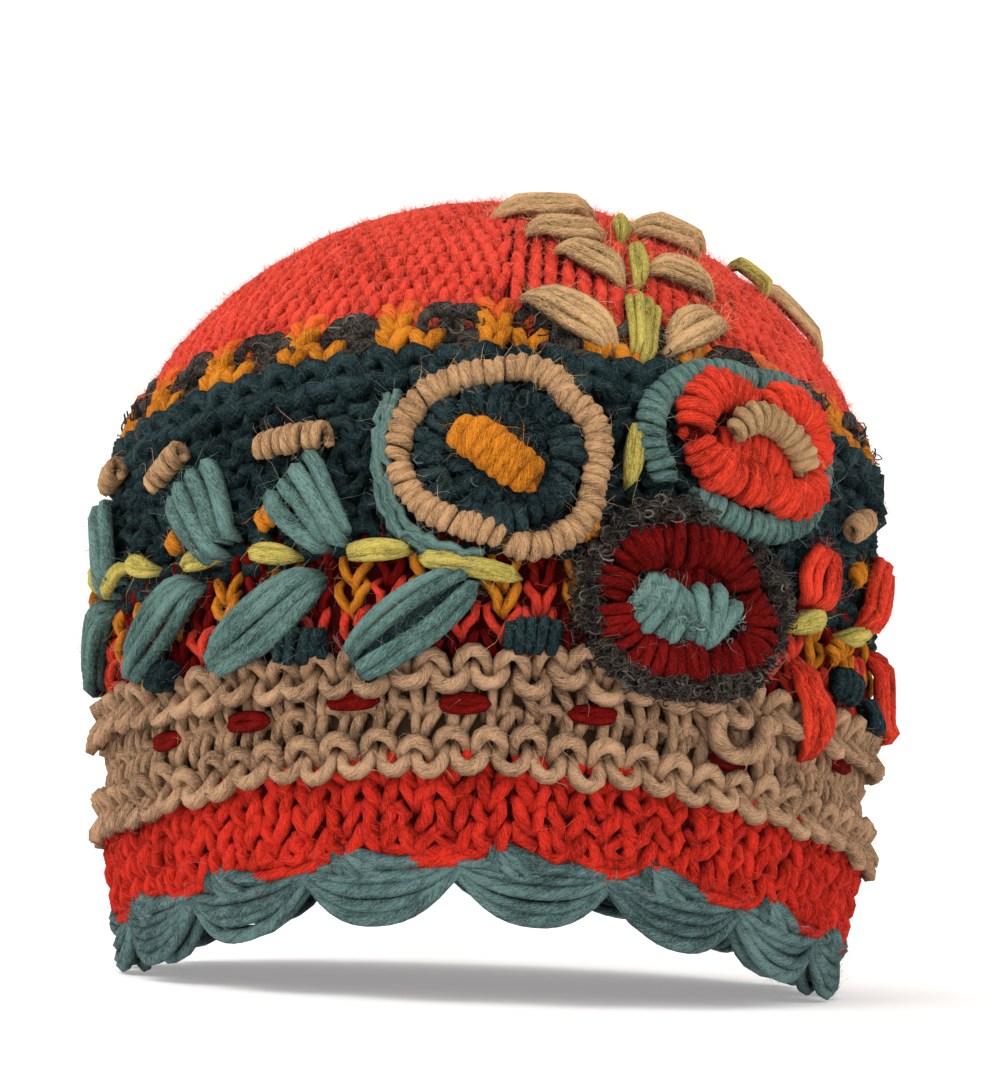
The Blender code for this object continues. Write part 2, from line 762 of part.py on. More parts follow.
def side_leaves():
    kinds = (
        (TEAL_FANS, "teal_wool", FAN_HALF, FAN_HEIGHT, FAN_SHAPE),
        (TEAL_LEAVES, "teal_wool", TEAL_LEAF_HALF, TEAL_LEAF_HEIGHT, LEAF_SHAPE),
        (RED_FANS, "deep_red_wool", FAN_HALF, FAN_HEIGHT, FAN_SHAPE),
        (RED_LEAVES, "deep_red_wool", RED_LEAF_HALF, RED_LEAF_HEIGHT, LEAF_SHAPE),
    )
    for rows, slot, half, height, shape_rows in kinds:
        for name, base_angle, base_band, base_share, tip_angle, tip_band, tip_share in rows:
            base, tip = (base_angle, base_band, base_share), (tip_angle, tip_band, tip_share)
            leaf(name, slot, base, tip, half, height, shape_rows)


def knots():
    for name, angle, band_name, share, length_share, turn in KNOTS:
        size = (length_share * KNOT_LENGTH, turn, KNOT_HALF, KNOT_HEIGHT)
        bar(name, "tan_wool", (angle, band_name, share), *size)
    for name, angle, band_name, share, length_share, turn in BLOCKS:
        size = (length_share * BLOCK_LENGTH, turn, BLOCK_HALF, BLOCK_HEIGHT)
        bar(name, "dark_teal_wool", (angle, band_name, share), *size)


def stand_on_origin():
    """Puts the middle of the whole hat's box over the origin, by way of one empty parent."""
    nodes = [node for node in bpy.data.objects if node.type == "MESH"]
    corners = [vertex.co for node in nodes for vertex in node.data.vertices]
    hat = bpy.data.objects.new("hat", None)
    bpy.context.collection.objects.link(hat)
    for axis in (0, 1):
        values = [corner[axis] for corner in corners]
        hat.location[axis] = -(min(values) + max(values)) / 2
    for node in nodes:
        node.parent = hat


def main():
    clear_scene()
    scallop_edge()
    bands()
    crown()
    large_flower()
    red_flower()
    dark_flower()
    crown_leaves()
    side_leaves()
    knots()
    stand_on_origin()


main()
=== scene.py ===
"""Looks of a hand-knitted wool hat with stitched flowers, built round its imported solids.

Metres, +Z up, with the front of the hat facing -Y. A place on the hat is an angle, counted from
the front towards +X, and a level: a length up the side of the knitting. Lengths in the tables are
in millimetres. Every strand of yarn is a closed tube whose UVs run round it and along it.
"""

import math

import bpy
import numpy as np
from mathutils import Matrix, Vector


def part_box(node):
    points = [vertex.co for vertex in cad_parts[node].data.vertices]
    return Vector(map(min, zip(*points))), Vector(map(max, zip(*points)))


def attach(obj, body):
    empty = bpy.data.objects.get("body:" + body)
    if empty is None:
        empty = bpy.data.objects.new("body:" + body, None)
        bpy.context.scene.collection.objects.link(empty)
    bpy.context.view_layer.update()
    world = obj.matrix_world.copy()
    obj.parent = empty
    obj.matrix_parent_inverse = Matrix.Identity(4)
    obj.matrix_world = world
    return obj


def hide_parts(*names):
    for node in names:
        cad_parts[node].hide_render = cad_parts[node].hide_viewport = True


bl_info = {
    "name": "Knitted hat",
    "version": (1, 0, 0),
    "blender": (4, 5, 0),
    "location": "3D View > Sidebar > Hat",
    "description": "Knits and embroiders a wool hat round its fixed solids",
    "category": "Object",
}

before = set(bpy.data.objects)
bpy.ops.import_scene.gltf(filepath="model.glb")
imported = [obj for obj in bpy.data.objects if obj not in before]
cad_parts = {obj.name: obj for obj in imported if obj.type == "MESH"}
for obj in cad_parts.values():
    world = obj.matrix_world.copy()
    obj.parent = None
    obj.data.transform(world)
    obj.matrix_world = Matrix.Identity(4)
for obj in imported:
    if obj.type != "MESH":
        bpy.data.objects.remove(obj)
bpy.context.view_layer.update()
RED_LOW, RED_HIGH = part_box("red_band")
AXIS = np.array([(RED_LOW[0] + RED_HIGH[0]) / 2, (RED_LOW[1] + RED_HIGH[1]) / 2, 0.0])

MM = 0.001
IMAGE_WIDTH, IMAGE_HEIGHT = 1006, 1083

# The hat's outer surface
HAT_HEIGHT = 0.1785
HALF_WIDTH = 0.0880
HALF_DEPTH = 0.0906
WALL = 0.0045
CROWN_LEAN = 0.0025
LEAN_FROM = 0.56
RIM_ARCH = 0.0180
RIM_SETTLE = 0.0015
PROFILE = (
    (0.000, 0.907),
    (0.076, 0.938),
    (0.193, 0.977),
    (0.378, 0.995),
    (0.496, 1.000),
    (0.580, 0.998),
    (0.647, 0.984),
    (0.692, 0.961),
    (0.737, 0.925),
    (0.782, 0.875),
    (0.826, 0.807),
    (0.871, 0.718),
    (0.910, 0.618),
    (0.944, 0.507),
    (0.969, 0.391),
    (0.987, 0.268),
    (0.9965, 0.136),
    (1.000, 0.000),
)
# Bands from the rim up: name, height, share of RIM_ARCH that the upper edge rises by
BANDS = (
    ("scallop", 0.0105, 0.99),
    ("red", 0.0205, 0.95),
    ("garter", 0.0270, 0.59),
    ("colourwork", 0.0210, 0.61),
    ("dark", 0.0380, 0.87),
    ("fairisle", 0.0090, 0.93),
)
CROWN_ARCH = ((0.25, 0.79), (0.50, 0.39), (1.00, 0.00))
RIDGE_INSET, RIDGE_HALF_WIDTH, RIDGE_HEIGHT, BED_REACH = 0.0025, 0.0038, 0.0022, 1.7

# Hairs: the longest one, and the crown's short fibres for each of its wisps
LONGEST_HAIR = 0.0105
DOWN_TO_HAIRS = 17
# A tone over 1 is a pale stray fibre
WISP_TONE, DOWN_TONE = 1.55, 1.4

# Knitting
STITCHES = 72
WEDGES = 8
SCALLOPS = 17
SCALLOP_JOINT = math.radians(-1.1)
SCALLOP_NOTCH = math.radians(2.2)
STITCH_TURN = math.tau / STITCHES
STITCH_WIDTH = STITCH_TURN * HALF_WIDTH
# The fair-isle row repeats after this many stitches and is turned by this many degrees
REPEAT = 3
FAIRISLE_SHIFT = 4.0
# Red, amber and maroon stitches from the lowest row up
COLOURWORK_CHART = ("MRMM", "RRMR", "ARAM", "AMAM", "MMMM")
# One leg of a knit stitch: shares of the stitch's width, of the row's height and of the yarn
KNIT_LEG = (
    (0.030, -0.34, -0.95),
    (0.065, -0.06, 0.10),
    (0.160, 0.24, 0.75),
    (0.275, 0.56, 0.85),
    (0.350, 0.88, 0.40),
    (0.320, 1.14, -0.95),
)
# The same for the crown, whose legs stand straighter
CROWN_LEG = (
    (0.205, -0.50, -0.20),
    (0.212, -0.10, 0.35),
    (0.228, 0.26, 0.62),
    (0.246, 0.60, 0.62),
    (0.262, 0.94, 0.42),
    (0.262, 1.30, -0.10),
)
# How far the crown's ground ends below the top
CROWN_GAP = 0.0012
# Ground of each band: piece, felt, colour and its share, slot, place under the surface, node. The share
# darkens the band's wool into painted shade for the gaps between the stitches.
GROUNDS = {
    "crown": ("crown_ground", "crown_ground_felt", "red", 0.38, "red_wool", -0.0031, "crown"),
    "fairisle": (
        "fairisle_ground", "fairisle_felt", "charcoal", 0.9, "charcoal_wool", -0.0030, "fairisle_band",
    ),
    "dark": ("dark_band_ground", "dark_band_felt", "dark_teal", 0.7, "dark_teal_wool", -0.0030, "dark_band"),
    "colourwork": (
        "colourwork_ground", "colourwork_felt", "maroon", 0.5, "maroon_wool", -0.0030, "colourwork_band",
    ),
    "garter": ("garter_ground", "garter_felt", "brown", 0.22, "brown_wool", -0.0036, "garter_band"),
    "red": ("red_band_ground", "red_band_felt", "deep_red", 0.25, "deep_red_wool", -0.0032, "red_band"),
    "scallop": (
        "scallop_ground", "scallop_felt", "scallop_teal", 0.35, "teal_wool", -0.0026, "scallop_edge",
    ),
}
WHITE = (1.0, 1.0, 1.0, 1.0)
# What the pale fibres of a wool lean towards, and the finish of the nearly black teals
PALE_MIST = (0.8, 0.7, 0.6)
NEAR_BLACK = {"fleck": 0.02, "bloom": 0.3, "gain": 1.15, "mist": (0.50, 0.66, 0.64)}
# Yarns: slot, colour and its share, then what else wool() is told
YARNS = {
    "crown_red_yarn": ("red_wool", "red", 1.0, {"bloom": 0.2}),
    "red_yarn": ("red_wool", "red", 0.8, {}),
    "deep_red_yarn": ("deep_red_wool", "deep_red", 1.0, {"depth": 1.2}),
    "petal_red_yarn": ("deep_red_wool", "petal_red", 1.0, {"pitch": 35.0}),
    "amber_yarn": ("amber_wool", "amber", 1.0, {}),
    "orange_yarn": ("amber_wool", "orange", 1.0, {}),
    "charcoal_yarn": ("charcoal_wool", "charcoal", 1.0, {"fleck": 0.12, "pitch": 9.0, "gain": 1.2}),
    "dark_teal_yarn": ("dark_teal_wool", "dark_teal", 1.0, NEAR_BLACK),
    "disc_teal_yarn": ("dark_teal_wool", "disc_teal", 1.0, NEAR_BLACK),
    "teal_yarn": ("teal_wool", "teal", 1.0, {"fleck": 0.04, "pitch": 40.0, "gain": 1.15}),
    "pale_teal_yarn": ("teal_wool", "teal", 1.25, {"fleck": 0.05}),
    "scallop_teal_yarn": ("teal_wool", "scallop_teal", 1.0, {"fleck": 0.05, "gain": 1.35}),
    "maroon_yarn": ("maroon_wool", "maroon", 1.0, {"bloom": 0.04, "gain": 1.3}),
    "petal_maroon_yarn": ("maroon_wool", "petal_maroon", 1.0, {"bloom": 0.04, "gain": 1.5}),
    "brown_yarn": ("brown_wool", "brown", 1.0, {"fleck": 0.05, "pitch": 11.0, "depth": 1.2}),
    "beige_yarn": ("tan_wool", "beige", 1.0, {"fleck": 0.05, "depth": 1.1}),
    "leaf_tan_yarn": ("tan_wool", "tan", 1.0, {"fleck": 0.04, "pitch": 60.0}),
    "dark_tan_yarn": ("tan_wool", "tan", 0.72, {"fleck": 0.04}),
    "lime_yarn": ("lime_wool", "lime", 1.0, {"fleck": 0.02, "pitch": 50.0}),
}
# Floor of the studio, in metres
FLOOR_STEPS = 64
FLOOR_RADIUS, FLOOR_BEND, WALL_HEIGHT = 2.5, 0.8, 3.5
# Lamps: name, place, target, diameter, power, colour
MIDDLE = (0.0, 0.0, 0.09)
LAMPS = (
    ("key_light", (-0.75, -0.95, 1.25), MIDDLE, 1.1, 13.5, (1.0, 0.985, 0.96)),
    ("fill_light", (1.0, -0.9, 0.6), MIDDLE, 1.2, 3.4, (0.97, 0.985, 1.0)),
    ("paper_light", (-0.45, 0.45, 1.3), (-0.35, 1.0, 0.2), 1.1, 4.0, WHITE[:3]),
)
# The camera, from the middle of the hat's rim, with its focal length in the photograph's pixels
CAMERA_PLACE = (0.0, -0.600, 0.0335)
CAMERA_TARGET = (0.002, 0.0, 0.1015)
CAMERA_ROLL = math.radians(2.2)
FOCAL_PIXELS = 2592.0


def side_profile():
    """Lengths up the side, with the height and the share of the width at each."""
    rows = np.array(PROFILE) * (HAT_HEIGHT, HALF_WIDTH)
    padded = np.vstack([2 * rows[0] - rows[1], rows, rows[-2] * (1, -1)])
    t = np.linspace(0, 1, 8, endpoint=False)[:, None]
    spans = [catmull(*padded[index : index + 4], t) for index in range(len(rows) - 1)]
    dense = np.vstack([*spans, rows[-1:]])
    lengths = np.concatenate([[0.0], np.cumsum(np.hypot(*np.diff(dense, axis=0).T))])
    return lengths, dense[:, 0], dense[:, 1] / HALF_WIDTH


def catmull(a, b, c, d, t):
    """Points on the curve from b to c."""
    curved = (2 * a - 5 * b + 4 * c - d) * t**2 + (3 * b - a - 3 * c + d) * t**3
    return 0.5 * (2 * b + (c - a) * t + curved)


LENGTHS, PROFILE_HEIGHTS, SHARES = side_profile()
SIDE_LENGTH = LENGTHS[-1]


def band_levels():
    """Each band's lower and upper level, and the tables of levels and rises."""
    spans, level, levels, rises = {}, 0.0, [0.0], [RIM_ARCH]
    for name, height, share in BANDS:
        spans[name] = (level, level + height)
        level += height
        levels.append(level)
        rises.append(share * RIM_ARCH)
    spans["crown"] = (level, SIDE_LENGTH)
    for part, share in CROWN_ARCH:
        levels.append(level + part * (SIDE_LENGTH - level))
        rises.append(share * RIM_ARCH)
    return spans, levels, rises


SPANS, RISE_LEVELS, RISES = band_levels()


def length_at(angle, level):
    """Length up the surface of a level, which rises at the front and the back."""
    return level + np.interp(level, RISE_LEVELS, RISES) * np.cos(angle) ** 2


def bare_point(angle, length):
    height = np.interp(length, LENGTHS, PROFILE_HEIGHTS)
    share = np.interp(length, LENGTHS, SHARES)
    lean = np.clip((height / HAT_HEIGHT - LEAN_FROM) / (1 - LEAN_FROM), 0, 1) ** 2 * CROWN_LEAN
    x = HALF_WIDTH * share * np.sin(angle) + lean
    return np.stack([x, -HALF_DEPTH * share * np.cos(angle), height], axis=-1)


def unit(vectors):
    return vectors / np.maximum(np.linalg.norm(vectors, axis=-1, keepdims=True), 1e-12)


def on_hat(angle, length, out=0.0):
    """World points at these angles and lengths up the side, this far out of the surface."""
    angle, length, out = np.broadcast_arrays(angle, length, out)
    inner = np.clip(length, 0.001, SIDE_LENGTH - 0.003)
    across = bare_point(angle + 0.01, inner) - bare_point(angle - 0.01, inner)
    along = bare_point(angle, inner + 0.0007) - bare_point(angle, inner - 0.0007)
    return bare_point(angle, length) + unit(np.cross(across, along)) * out[..., None] + AXIS


def around(length):
    """Radius of the hat at this length, for turning a distance into an angle."""
    return HALF_WIDTH * np.maximum(np.interp(length, LENGTHS, SHARES), 0.03)


def knitted(angle, level, x, y, out):
    """Points of a stitch: x to the viewer's right and y up the knitting from its place."""
    level = level + y
    turned = angle + x / around(length_at(angle, level))
    return on_hat(turned, length_at(turned, level), out)


def bed(angle, length):
    """Height of what a stitched piece lies on: the knitting, or a garter ridge."""
    low, high = SPANS["garter"]
    level = length - np.interp(length - 0.011, RISE_LEVELS, RISES) * np.cos(angle) ** 2
    away = np.minimum(abs(level - low - RIDGE_INSET), abs(level - high + RIDGE_INSET))
    return RIDGE_HEIGHT * np.clip(BED_REACH - away / RIDGE_HALF_WIDTH, 0, 1)


def stitched(origin, x, y, out):
    """Points of a stitched piece round its origin: x to the viewer's right, y up the hat."""
    angle, length = origin
    lengths = np.minimum(length + y, SIDE_LENGTH)
    angles = angle + x / around(lengths)
    return on_hat(angles, lengths, bed(angles, lengths) + out)


def place(degrees, band, share):
    """(angle, length) of a place given by a band and a share of its height."""
    low, high = SPANS[band]
    angle = math.radians(degrees)
    return angle, float(length_at(angle, low + share * (high - low)))


def smooth(points, count, closed=False):
    """Evenly spaced points on a smooth curve through these."""
    points = np.asarray(points, float)
    if closed:
        padded = np.vstack([points[-1:], points, points[:2]])
    else:
        padded = np.vstack([2 * points[0] - points[1], points, 2 * points[-1] - points[-2]])
    t = np.linspace(0, 1, 16, endpoint=False)[:, None]
    dense = [catmull(*padded[index : index + 4], t) for index in range(len(padded) - 3)]
    dense = np.vstack([*dense, padded[-2:-1]])
    steps = np.concatenate([[0.0], np.cumsum(np.linalg.norm(np.diff(dense, axis=0), axis=1))])
    at = np.linspace(0, steps[-1], count)
    return np.stack([np.interp(at, steps, column) for column in dense.T], axis=-1)


class Strands:
    """Closed tubes of yarn and hair, gathered into one mesh."""

    def __init__(self, seed):
        self.random = np.random.default_rng(seed)
        self.points, self.corners, self.starts, self.uvs, self.tones = [], [], [], [], []
        self.roots, self.outward = [], []
        self.count = self.corner_count = 0

    def _store(self, points, faces, uvs, tones):
        """Adds one strand's faces for each row of points and of corners' uvs."""
        number, each = points.shape[:2]
        offsets = self.count + np.arange(number)[:, None] * each
        flat = np.concatenate([np.asarray(face) for face in faces])
        sizes = np.array([len(face) for face in faces])
        first = np.concatenate([[0], np.cumsum(sizes)[:-1]])
        self.corners.append((offsets + flat[None, :]).ravel())
        starts = self.corner_count + np.arange(number)[:, None] * len(flat) + first[None, :]
        self.starts.append(starts.ravel())
        self.uvs.append(uvs.reshape(-1, 2))
        self.points.append(points.reshape(-1, 3))
        self.tones.append(np.repeat(tones, each))
        self.count += number * each
        self.corner_count += number * len(flat)

    def add(self, paths, radii, sides=5, tone=0.5, spread=0.22, core=None):
        """Tubes along paths, an array of strands, rings and coordinates.

        The radii are one number, one for each ring, or one for each strand and ring. Each tube's
        seam faces its core: the middle of the hat, unless one is given.
        """
        number, rings = paths.shape[:2]
        radii = np.broadcast_to(radii, (number, rings))
        tangents = unit(np.gradient(paths, axis=1))
        pull = 0.7 if core is None else 4.0
        outward = unit(paths - (AXIS + (0.0, 0.0, HAT_HEIGHT / 2) if core is None else core))
        reference = outward[:, 0]
        frames = np.empty((number, rings, 2, 3))
        for ring in range(rings):
            tangent = tangents[:, ring]
            reference = reference + outward[:, ring] * pull
            reference = unit(reference - (reference * tangent).sum(-1, keepdims=True) * tangent)
            frames[:, ring, 0] = reference
            frames[:, ring, 1] = np.cross(tangent, reference)
        # Turned half round so that each tube's seam, u = 0, faces its core: the side on which the wool paints
        # shade.
        turns = math.tau * np.arange(sides) / sides + math.pi
        circle = np.stack([np.cos(turns), np.sin(turns)], axis=-1)
        spokes = np.einsum("sk,nrkd->nrsd", circle, frames)
        rims = paths[:, :, None] + spokes * radii[:, :, None, None]
        first_tip = paths[:, :1] - tangents[:, :1] * radii[:, :1, None] * 0.45
        last_tip = paths[:, -1:] + tangents[:, -1:] * radii[:, -1:, None] * 0.45
        points = np.concatenate([rims.reshape(number, -1, 3), first_tip, last_tip], axis=1)
        along = np.linalg.norm(np.diff(paths, axis=1), axis=-1) / MM
        along = np.concatenate([np.zeros((number, 1)), np.cumsum(along, axis=1)], axis=1)
        along += self.random.uniform(0, 40, (number, 1))
        faces, marks = [], []
        for ring in range(rings - 1):
            for side in range(sides):
                after = (side + 1) % sides
                low, high = ring * sides, (ring + 1) * sides
                faces.append((low + side, low + after, high + after, high + side))
                marks += [(side, ring), (side + 1, ring), (side + 1, ring + 1), (side, ring + 1)]
        last = (rings - 1) * sides
        for side in range(sides):
            after = (side + 1) % sides
            faces.append((rings * sides, after, side))
            marks += [(side + 0.5, 0), (side + 1, 0), (side, 0)]
            faces.append((rings * sides + 1, last + side, last + after))
            marks += [(side + 0.5, rings - 1), (side, rings - 1), (side + 1, rings - 1)]
        marks = np.array(marks)
        uvs = np.empty((number, len(marks), 2))
        uvs[..., 0] = marks[:, 0] / sides
        uvs[..., 1] = along[:, marks[:, 1].astype(int)]
        tones = np.clip(tone + self.random.uniform(-spread, spread, number), 0, 1.8)
        self._store(points, faces, uvs, tones)
        self.roots.append(rims.reshape(-1, 3))
        self.outward.append(spokes.reshape(-1, 3))

    def hairs(self, number, length, steps, thickness, tone, lift=(0.3, 1.3)):
        """Fine tapered fibres that curve out of the yarn made so far, each of this many steps."""
        each, random = (number, 1), self.random
        roots, outward = np.concatenate(self.roots), np.concatenate(self.outward)
        centre = AXIS + (0.0, 0.0, HAT_HEIGHT * 0.35)
        facing = np.flatnonzero((unit(roots - centre) * outward).sum(-1) > 0.15)
        pick = random.choice(facing, number)
        start, away = roots[pick], outward[pick]
        stray = unit(random.normal(size=(number, 3)))
        heading = unit(away * random.uniform(*lift, each) + stray * 0.9)
        sideways = unit(np.cross(heading, unit(random.normal(size=(number, 3)))))
        reach = np.minimum(random.gamma(4.0, length / 4.0, each), LONGEST_HAIR)
        arc = random.uniform(0.5, 1.5, each) * steps
        shares = np.linspace(0, 1, steps + 1)
        bends = [heading * np.sin(arc * s) + sideways * (1 - np.cos(arc * s)) for s in shares]
        paths = np.stack([start + bend * reach / arc for bend in bends], axis=1)
        paths[..., 2] = np.maximum(paths[..., 2], 0.0004)
        radius = thickness * MM / 2 * random.uniform(0.6, 1.2, each)
        across = unit(np.cross(heading, unit(stray + 0.01)))
        other = np.cross(heading, across)
        rims = []
        for ring in range(steps):
            for side in range(3):
                turn = math.tau * side / 3
                spoke = across * math.cos(turn) + other * math.sin(turn)
                rims.append(paths[:, ring] + spoke * radius * (1 - 0.6 * shares[ring]))
        points = np.stack([*rims, paths[:, -1]], axis=1)
        faces = [(2, 1, 0)]
        for low in range(0, 3 * (steps - 1), 3):
            for side in range(3):
                after = (side + 1) % 3
                faces.append((low + side, low + after, low + 3 + after, low + 3 + side))
        last, tip = 3 * (steps - 1), 3 * steps
        faces += [(last, last + 1, tip), (last + 1, last + 2, tip), (last + 2, last, tip)]
        corners = sum(len(face) for face in faces)
        # Half a turn round the yarn: the hairs take the painted light of the yarn's outer side, not its
        # painted shade.
        uvs = np.full((number, corners, 2), 0.5)
        uvs[..., 1] = random.uniform(0, 40, each)
        tones = tone + random.uniform(-0.25, 0.25, number)
        self._store(points, faces, uvs, tones)

    def fuzz(self, wisps, down, length=None):
        """Wisps that lie along the yarn, a few long stray fibres, and a short down all over."""
        long = length or sizes().hair_length
        self.hairs(wisps // 5, long * 1.6, 4, 0.06, WISP_TONE, (0.0, 0.6))
        self.hairs(wisps, long * 0.85, 2, 0.075, WISP_TONE, (0.0, 0.35))
        self.hairs(down * 2 // 5, long * 0.5, 2, 0.075, DOWN_TONE, (0.1, 0.8))

    def piece(self, name, yarn, *nodes):
        """Makes the mesh in its yarn and hides the nodes that it stands for."""
        slot, colour, share, looks = YARNS[yarn]
        mesh = bpy.data.meshes.new(name)
        parts = (self.points, self.corners, self.starts)
        points, corners, starts = (np.concatenate(part) for part in parts)
        mesh.vertices.add(len(points))
        mesh.vertices.foreach_set("co", points.ravel())
        mesh.loops.add(len(corners))
        mesh.loops.foreach_set("vertex_index", corners)
        mesh.polygons.add(len(starts))
        mesh.polygons.foreach_set("loop_start", starts)
        mesh.polygons.foreach_set("use_smooth", np.ones(len(starts), bool))
        layer = mesh.uv_layers.new(name="strand")
        layer.data.foreach_set("uv", np.concatenate(self.uvs).ravel())
        tone = mesh.attributes.new("tone", "FLOAT", "POINT")
        tone.data.foreach_set("value", np.concatenate(self.tones))
        mesh.materials.append(wool(yarn, paint(colour, share), **looks))
        mesh.update(calc_edges=True)
        mesh.validate()
        finish_piece(mesh, slot, *nodes)


def finish_piece(mesh, slot, *nodes):
    """An object for this mesh, riding on the hat in place of the nodes."""
    piece = bpy.data.objects.new(mesh.name, mesh)
    bpy.context.scene.collection.objects.link(piece)
    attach(piece, "root")
    if nodes:
        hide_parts(*nodes)


class Number:
    """A number that changes over a surface. Arithmetic on it adds Math nodes."""

    def __init__(self, finish, socket):
        self.finish, self.socket = finish, socket

    def _math(self, operation, *values):
        node = self.finish.node("ShaderNodeMath", {"operation": operation}, dict(enumerate(values)))
        return Number(self.finish, node.outputs[0])

    def __add__(self, other):
        return self._math("ADD", self, other)

    def __radd__(self, other):
        return self._math("ADD", other, self)

    def __sub__(self, other):
        return self._math("SUBTRACT", self, other)

    def __rsub__(self, other):
        return self._math("SUBTRACT", other, self)

    def __mul__(self, other):
        return self._math("MULTIPLY", self, other)

    def __rmul__(self, other):
        return self._math("MULTIPLY", other, self)

    def __truediv__(self, other):
        return self._math("DIVIDE", self, other)

    def __pow__(self, other):
        return self._math("POWER", self, other)

    def __abs__(self):
        return self._math("ABSOLUTE", self)

    def at_least(self, other):
        return self._math("MAXIMUM", self, other)

    def sin(self):
        return self._math("SINE", self)

    def cos(self):
        return self._math("COSINE", self)


class Finish:
    """A material and the one way of adding nodes to it."""

    def __init__(self, name):
        self.material = bpy.data.materials.new(name)
        self.material.use_nodes = True
        self.tree = self.material.node_tree

    def node(self, kind, settings, values):
        """A node with its settings, a ramp's stops among them, and its sockets' values or links."""
        node = self.tree.nodes.new(kind)
        for key, value in settings.items():
            if key == "stops":
                while len(node.color_ramp.elements) < len(value):
                    node.color_ramp.elements.new(1.0)
                for element, (position, colour) in zip(node.color_ramp.elements, value):
                    element.position, element.color = position, (*colour, 1.0)
            else:
                setattr(node, key, value)
        for key, value in values.items():
            self.put(node.inputs[key], value)
        return node

    def put(self, socket, value):
        if isinstance(value, Number):
            value = value.socket
        if isinstance(value, bpy.types.NodeSocket):
            self.tree.links.new(value, socket)
        else:
            socket.default_value = value

    def number(self, kind, settings, values, output=0):
        return Number(self, self.node(kind, settings, values).outputs[output])

    def noise(self, vector, scale, detail, roughness):
        values = {"Vector": vector, "Scale": scale, "Detail": detail, "Roughness": roughness}
        return self.number("ShaderNodeTexNoise", {}, values)

    def surface(self, values):
        """Sets the shader's own sockets."""
        for key, value in values.items():
            self.put(self.tree.nodes["Principled BSDF"].inputs[key], value)
        return self.material


def shade(colour, share):
    """A colour made darker, with a share under 1, or lighter."""
    return tuple(min(channel * share, 1.0) for channel in colour)


def toward(colour, other, share):
    return tuple(a + (b - a) * share for a, b in zip(colour, other))


def wool(name, colour, fleck=0.0, pitch=15.0, depth=1.0, bloom=0.12, gain=1.0, mist=PALE_MIST):
    """Spun wool: fibres along a twisted yarn and a few pale ones across it, with painted shade on its inner
    side and in the grooves between its plies, and painted light on its outer side.
    """
    found = bpy.data.materials.get(name)
    if found:
        return found
    finish = Finish(name)
    strand = finish.node("ShaderNodeUVMap", {"uv_map": "strand"}, {})
    split = finish.node("ShaderNodeSeparateXYZ", {}, {0: strand.outputs[0]})
    round_yarn, along = Number(finish, split.outputs[0]), Number(finish, split.outputs[1])
    tone = finish.number("ShaderNodeAttribute", {"attribute_name": "tone"}, {}, output=2)

    def lengthwise(twist, stretch, scale, detail):
        turn = (round_yarn + along / twist) * math.tau
        parts = {0: turn.cos() * 1.7 + tone * 90.0, 1: turn.sin() * 1.7, 2: along * stretch}
        vector = finish.node("ShaderNodeCombineXYZ", {}, parts)
        return turn, finish.noise(vector.outputs[0], scale, detail, 0.7)

    def all_over(scale, detail):
        where = finish.node("ShaderNodeTexCoord", {}, {}).outputs["Object"]
        return finish.noise(where, scale, detail, 0.6)

    turn, fibres = lengthwise(pitch, 0.16, 4.4, 4.0)
    _, loose = lengthwise(-pitch * 0.4, 0.30, 1.5, 2.0)
    patches, grain = all_over(75.0, 3.0), all_over(2400.0, 3.0)
    pale = toward(shade(colour, 2.2), mist, bloom + fleck * 3)
    stray = (tone - 1.0).at_least(0.0)
    crossing = (1.0 - abs(loose - 0.5) * 24.0).at_least(0.0)
    groove = abs(turn.sin()) ** 0.6
    painted_side_shade = (round_yarn * math.tau).cos()
    # Painted shade: the yarn is darker in the grooves between its plies and on its inner side, which faces
    # the hat or its core, and a little lighter on the far side. The fibres, tone, patches and grain are the
    # wool's own.
    light = 0.50 + (fibres - 0.5) * 2.4 + (tone - 0.5) * 0.5 + (patches - 0.5) * 0.9
    light = light + (groove - 0.6) * 0.22 + (grain - 0.5) * 0.9 - (painted_side_shade + 0.3) * 0.22
    # The top stop, which gain raises, colours both the lightest fibres and the painted light on the yarn's
    # outer side.
    stops = [
        (0.08, shade(colour, 0.14)),
        (0.36, shade(colour, 0.56)),
        (0.62, shade(colour, 1.06)),
        (0.95, toward(shade(colour, 1.55 * gain), pale, 0.12 + fleck)),
    ]
    ramp = finish.node("ShaderNodeValToRGB", {"stops": stops}, {"Fac": light})
    pale_fibre = (*toward(shade(colour, 1.5), pale, 0.8), 1.0)
    blend = {0: crossing * (0.16 + fleck) + stray * 1.7, 6: ramp.outputs[0], 7: pale_fibre}
    mixed = finish.node("ShaderNodeMix", {"data_type": "RGBA"}, blend)
    height = (fibres * 0.9 + groove * 0.5 + grain * 0.5) * (1.0 - stray * 5.0).at_least(0.0)
    bump = finish.node("ShaderNodeBump", {}, {"Strength": 0.75 * depth, "Distance": 0.0010, "Height": height})
    return finish.surface({
        "Base Color": mixed.outputs[2],
        "Normal": bump.outputs[0],
        "Roughness": 0.92,
        "Specular IOR Level": 0.04,
        "Sheen Weight": bloom * 0.5 * min(max(colour) * 4, 1.0),
        "Sheen Roughness": 0.5,
        "Sheen Tint": (*toward(colour, WHITE, 0.3), 1.0),
    })


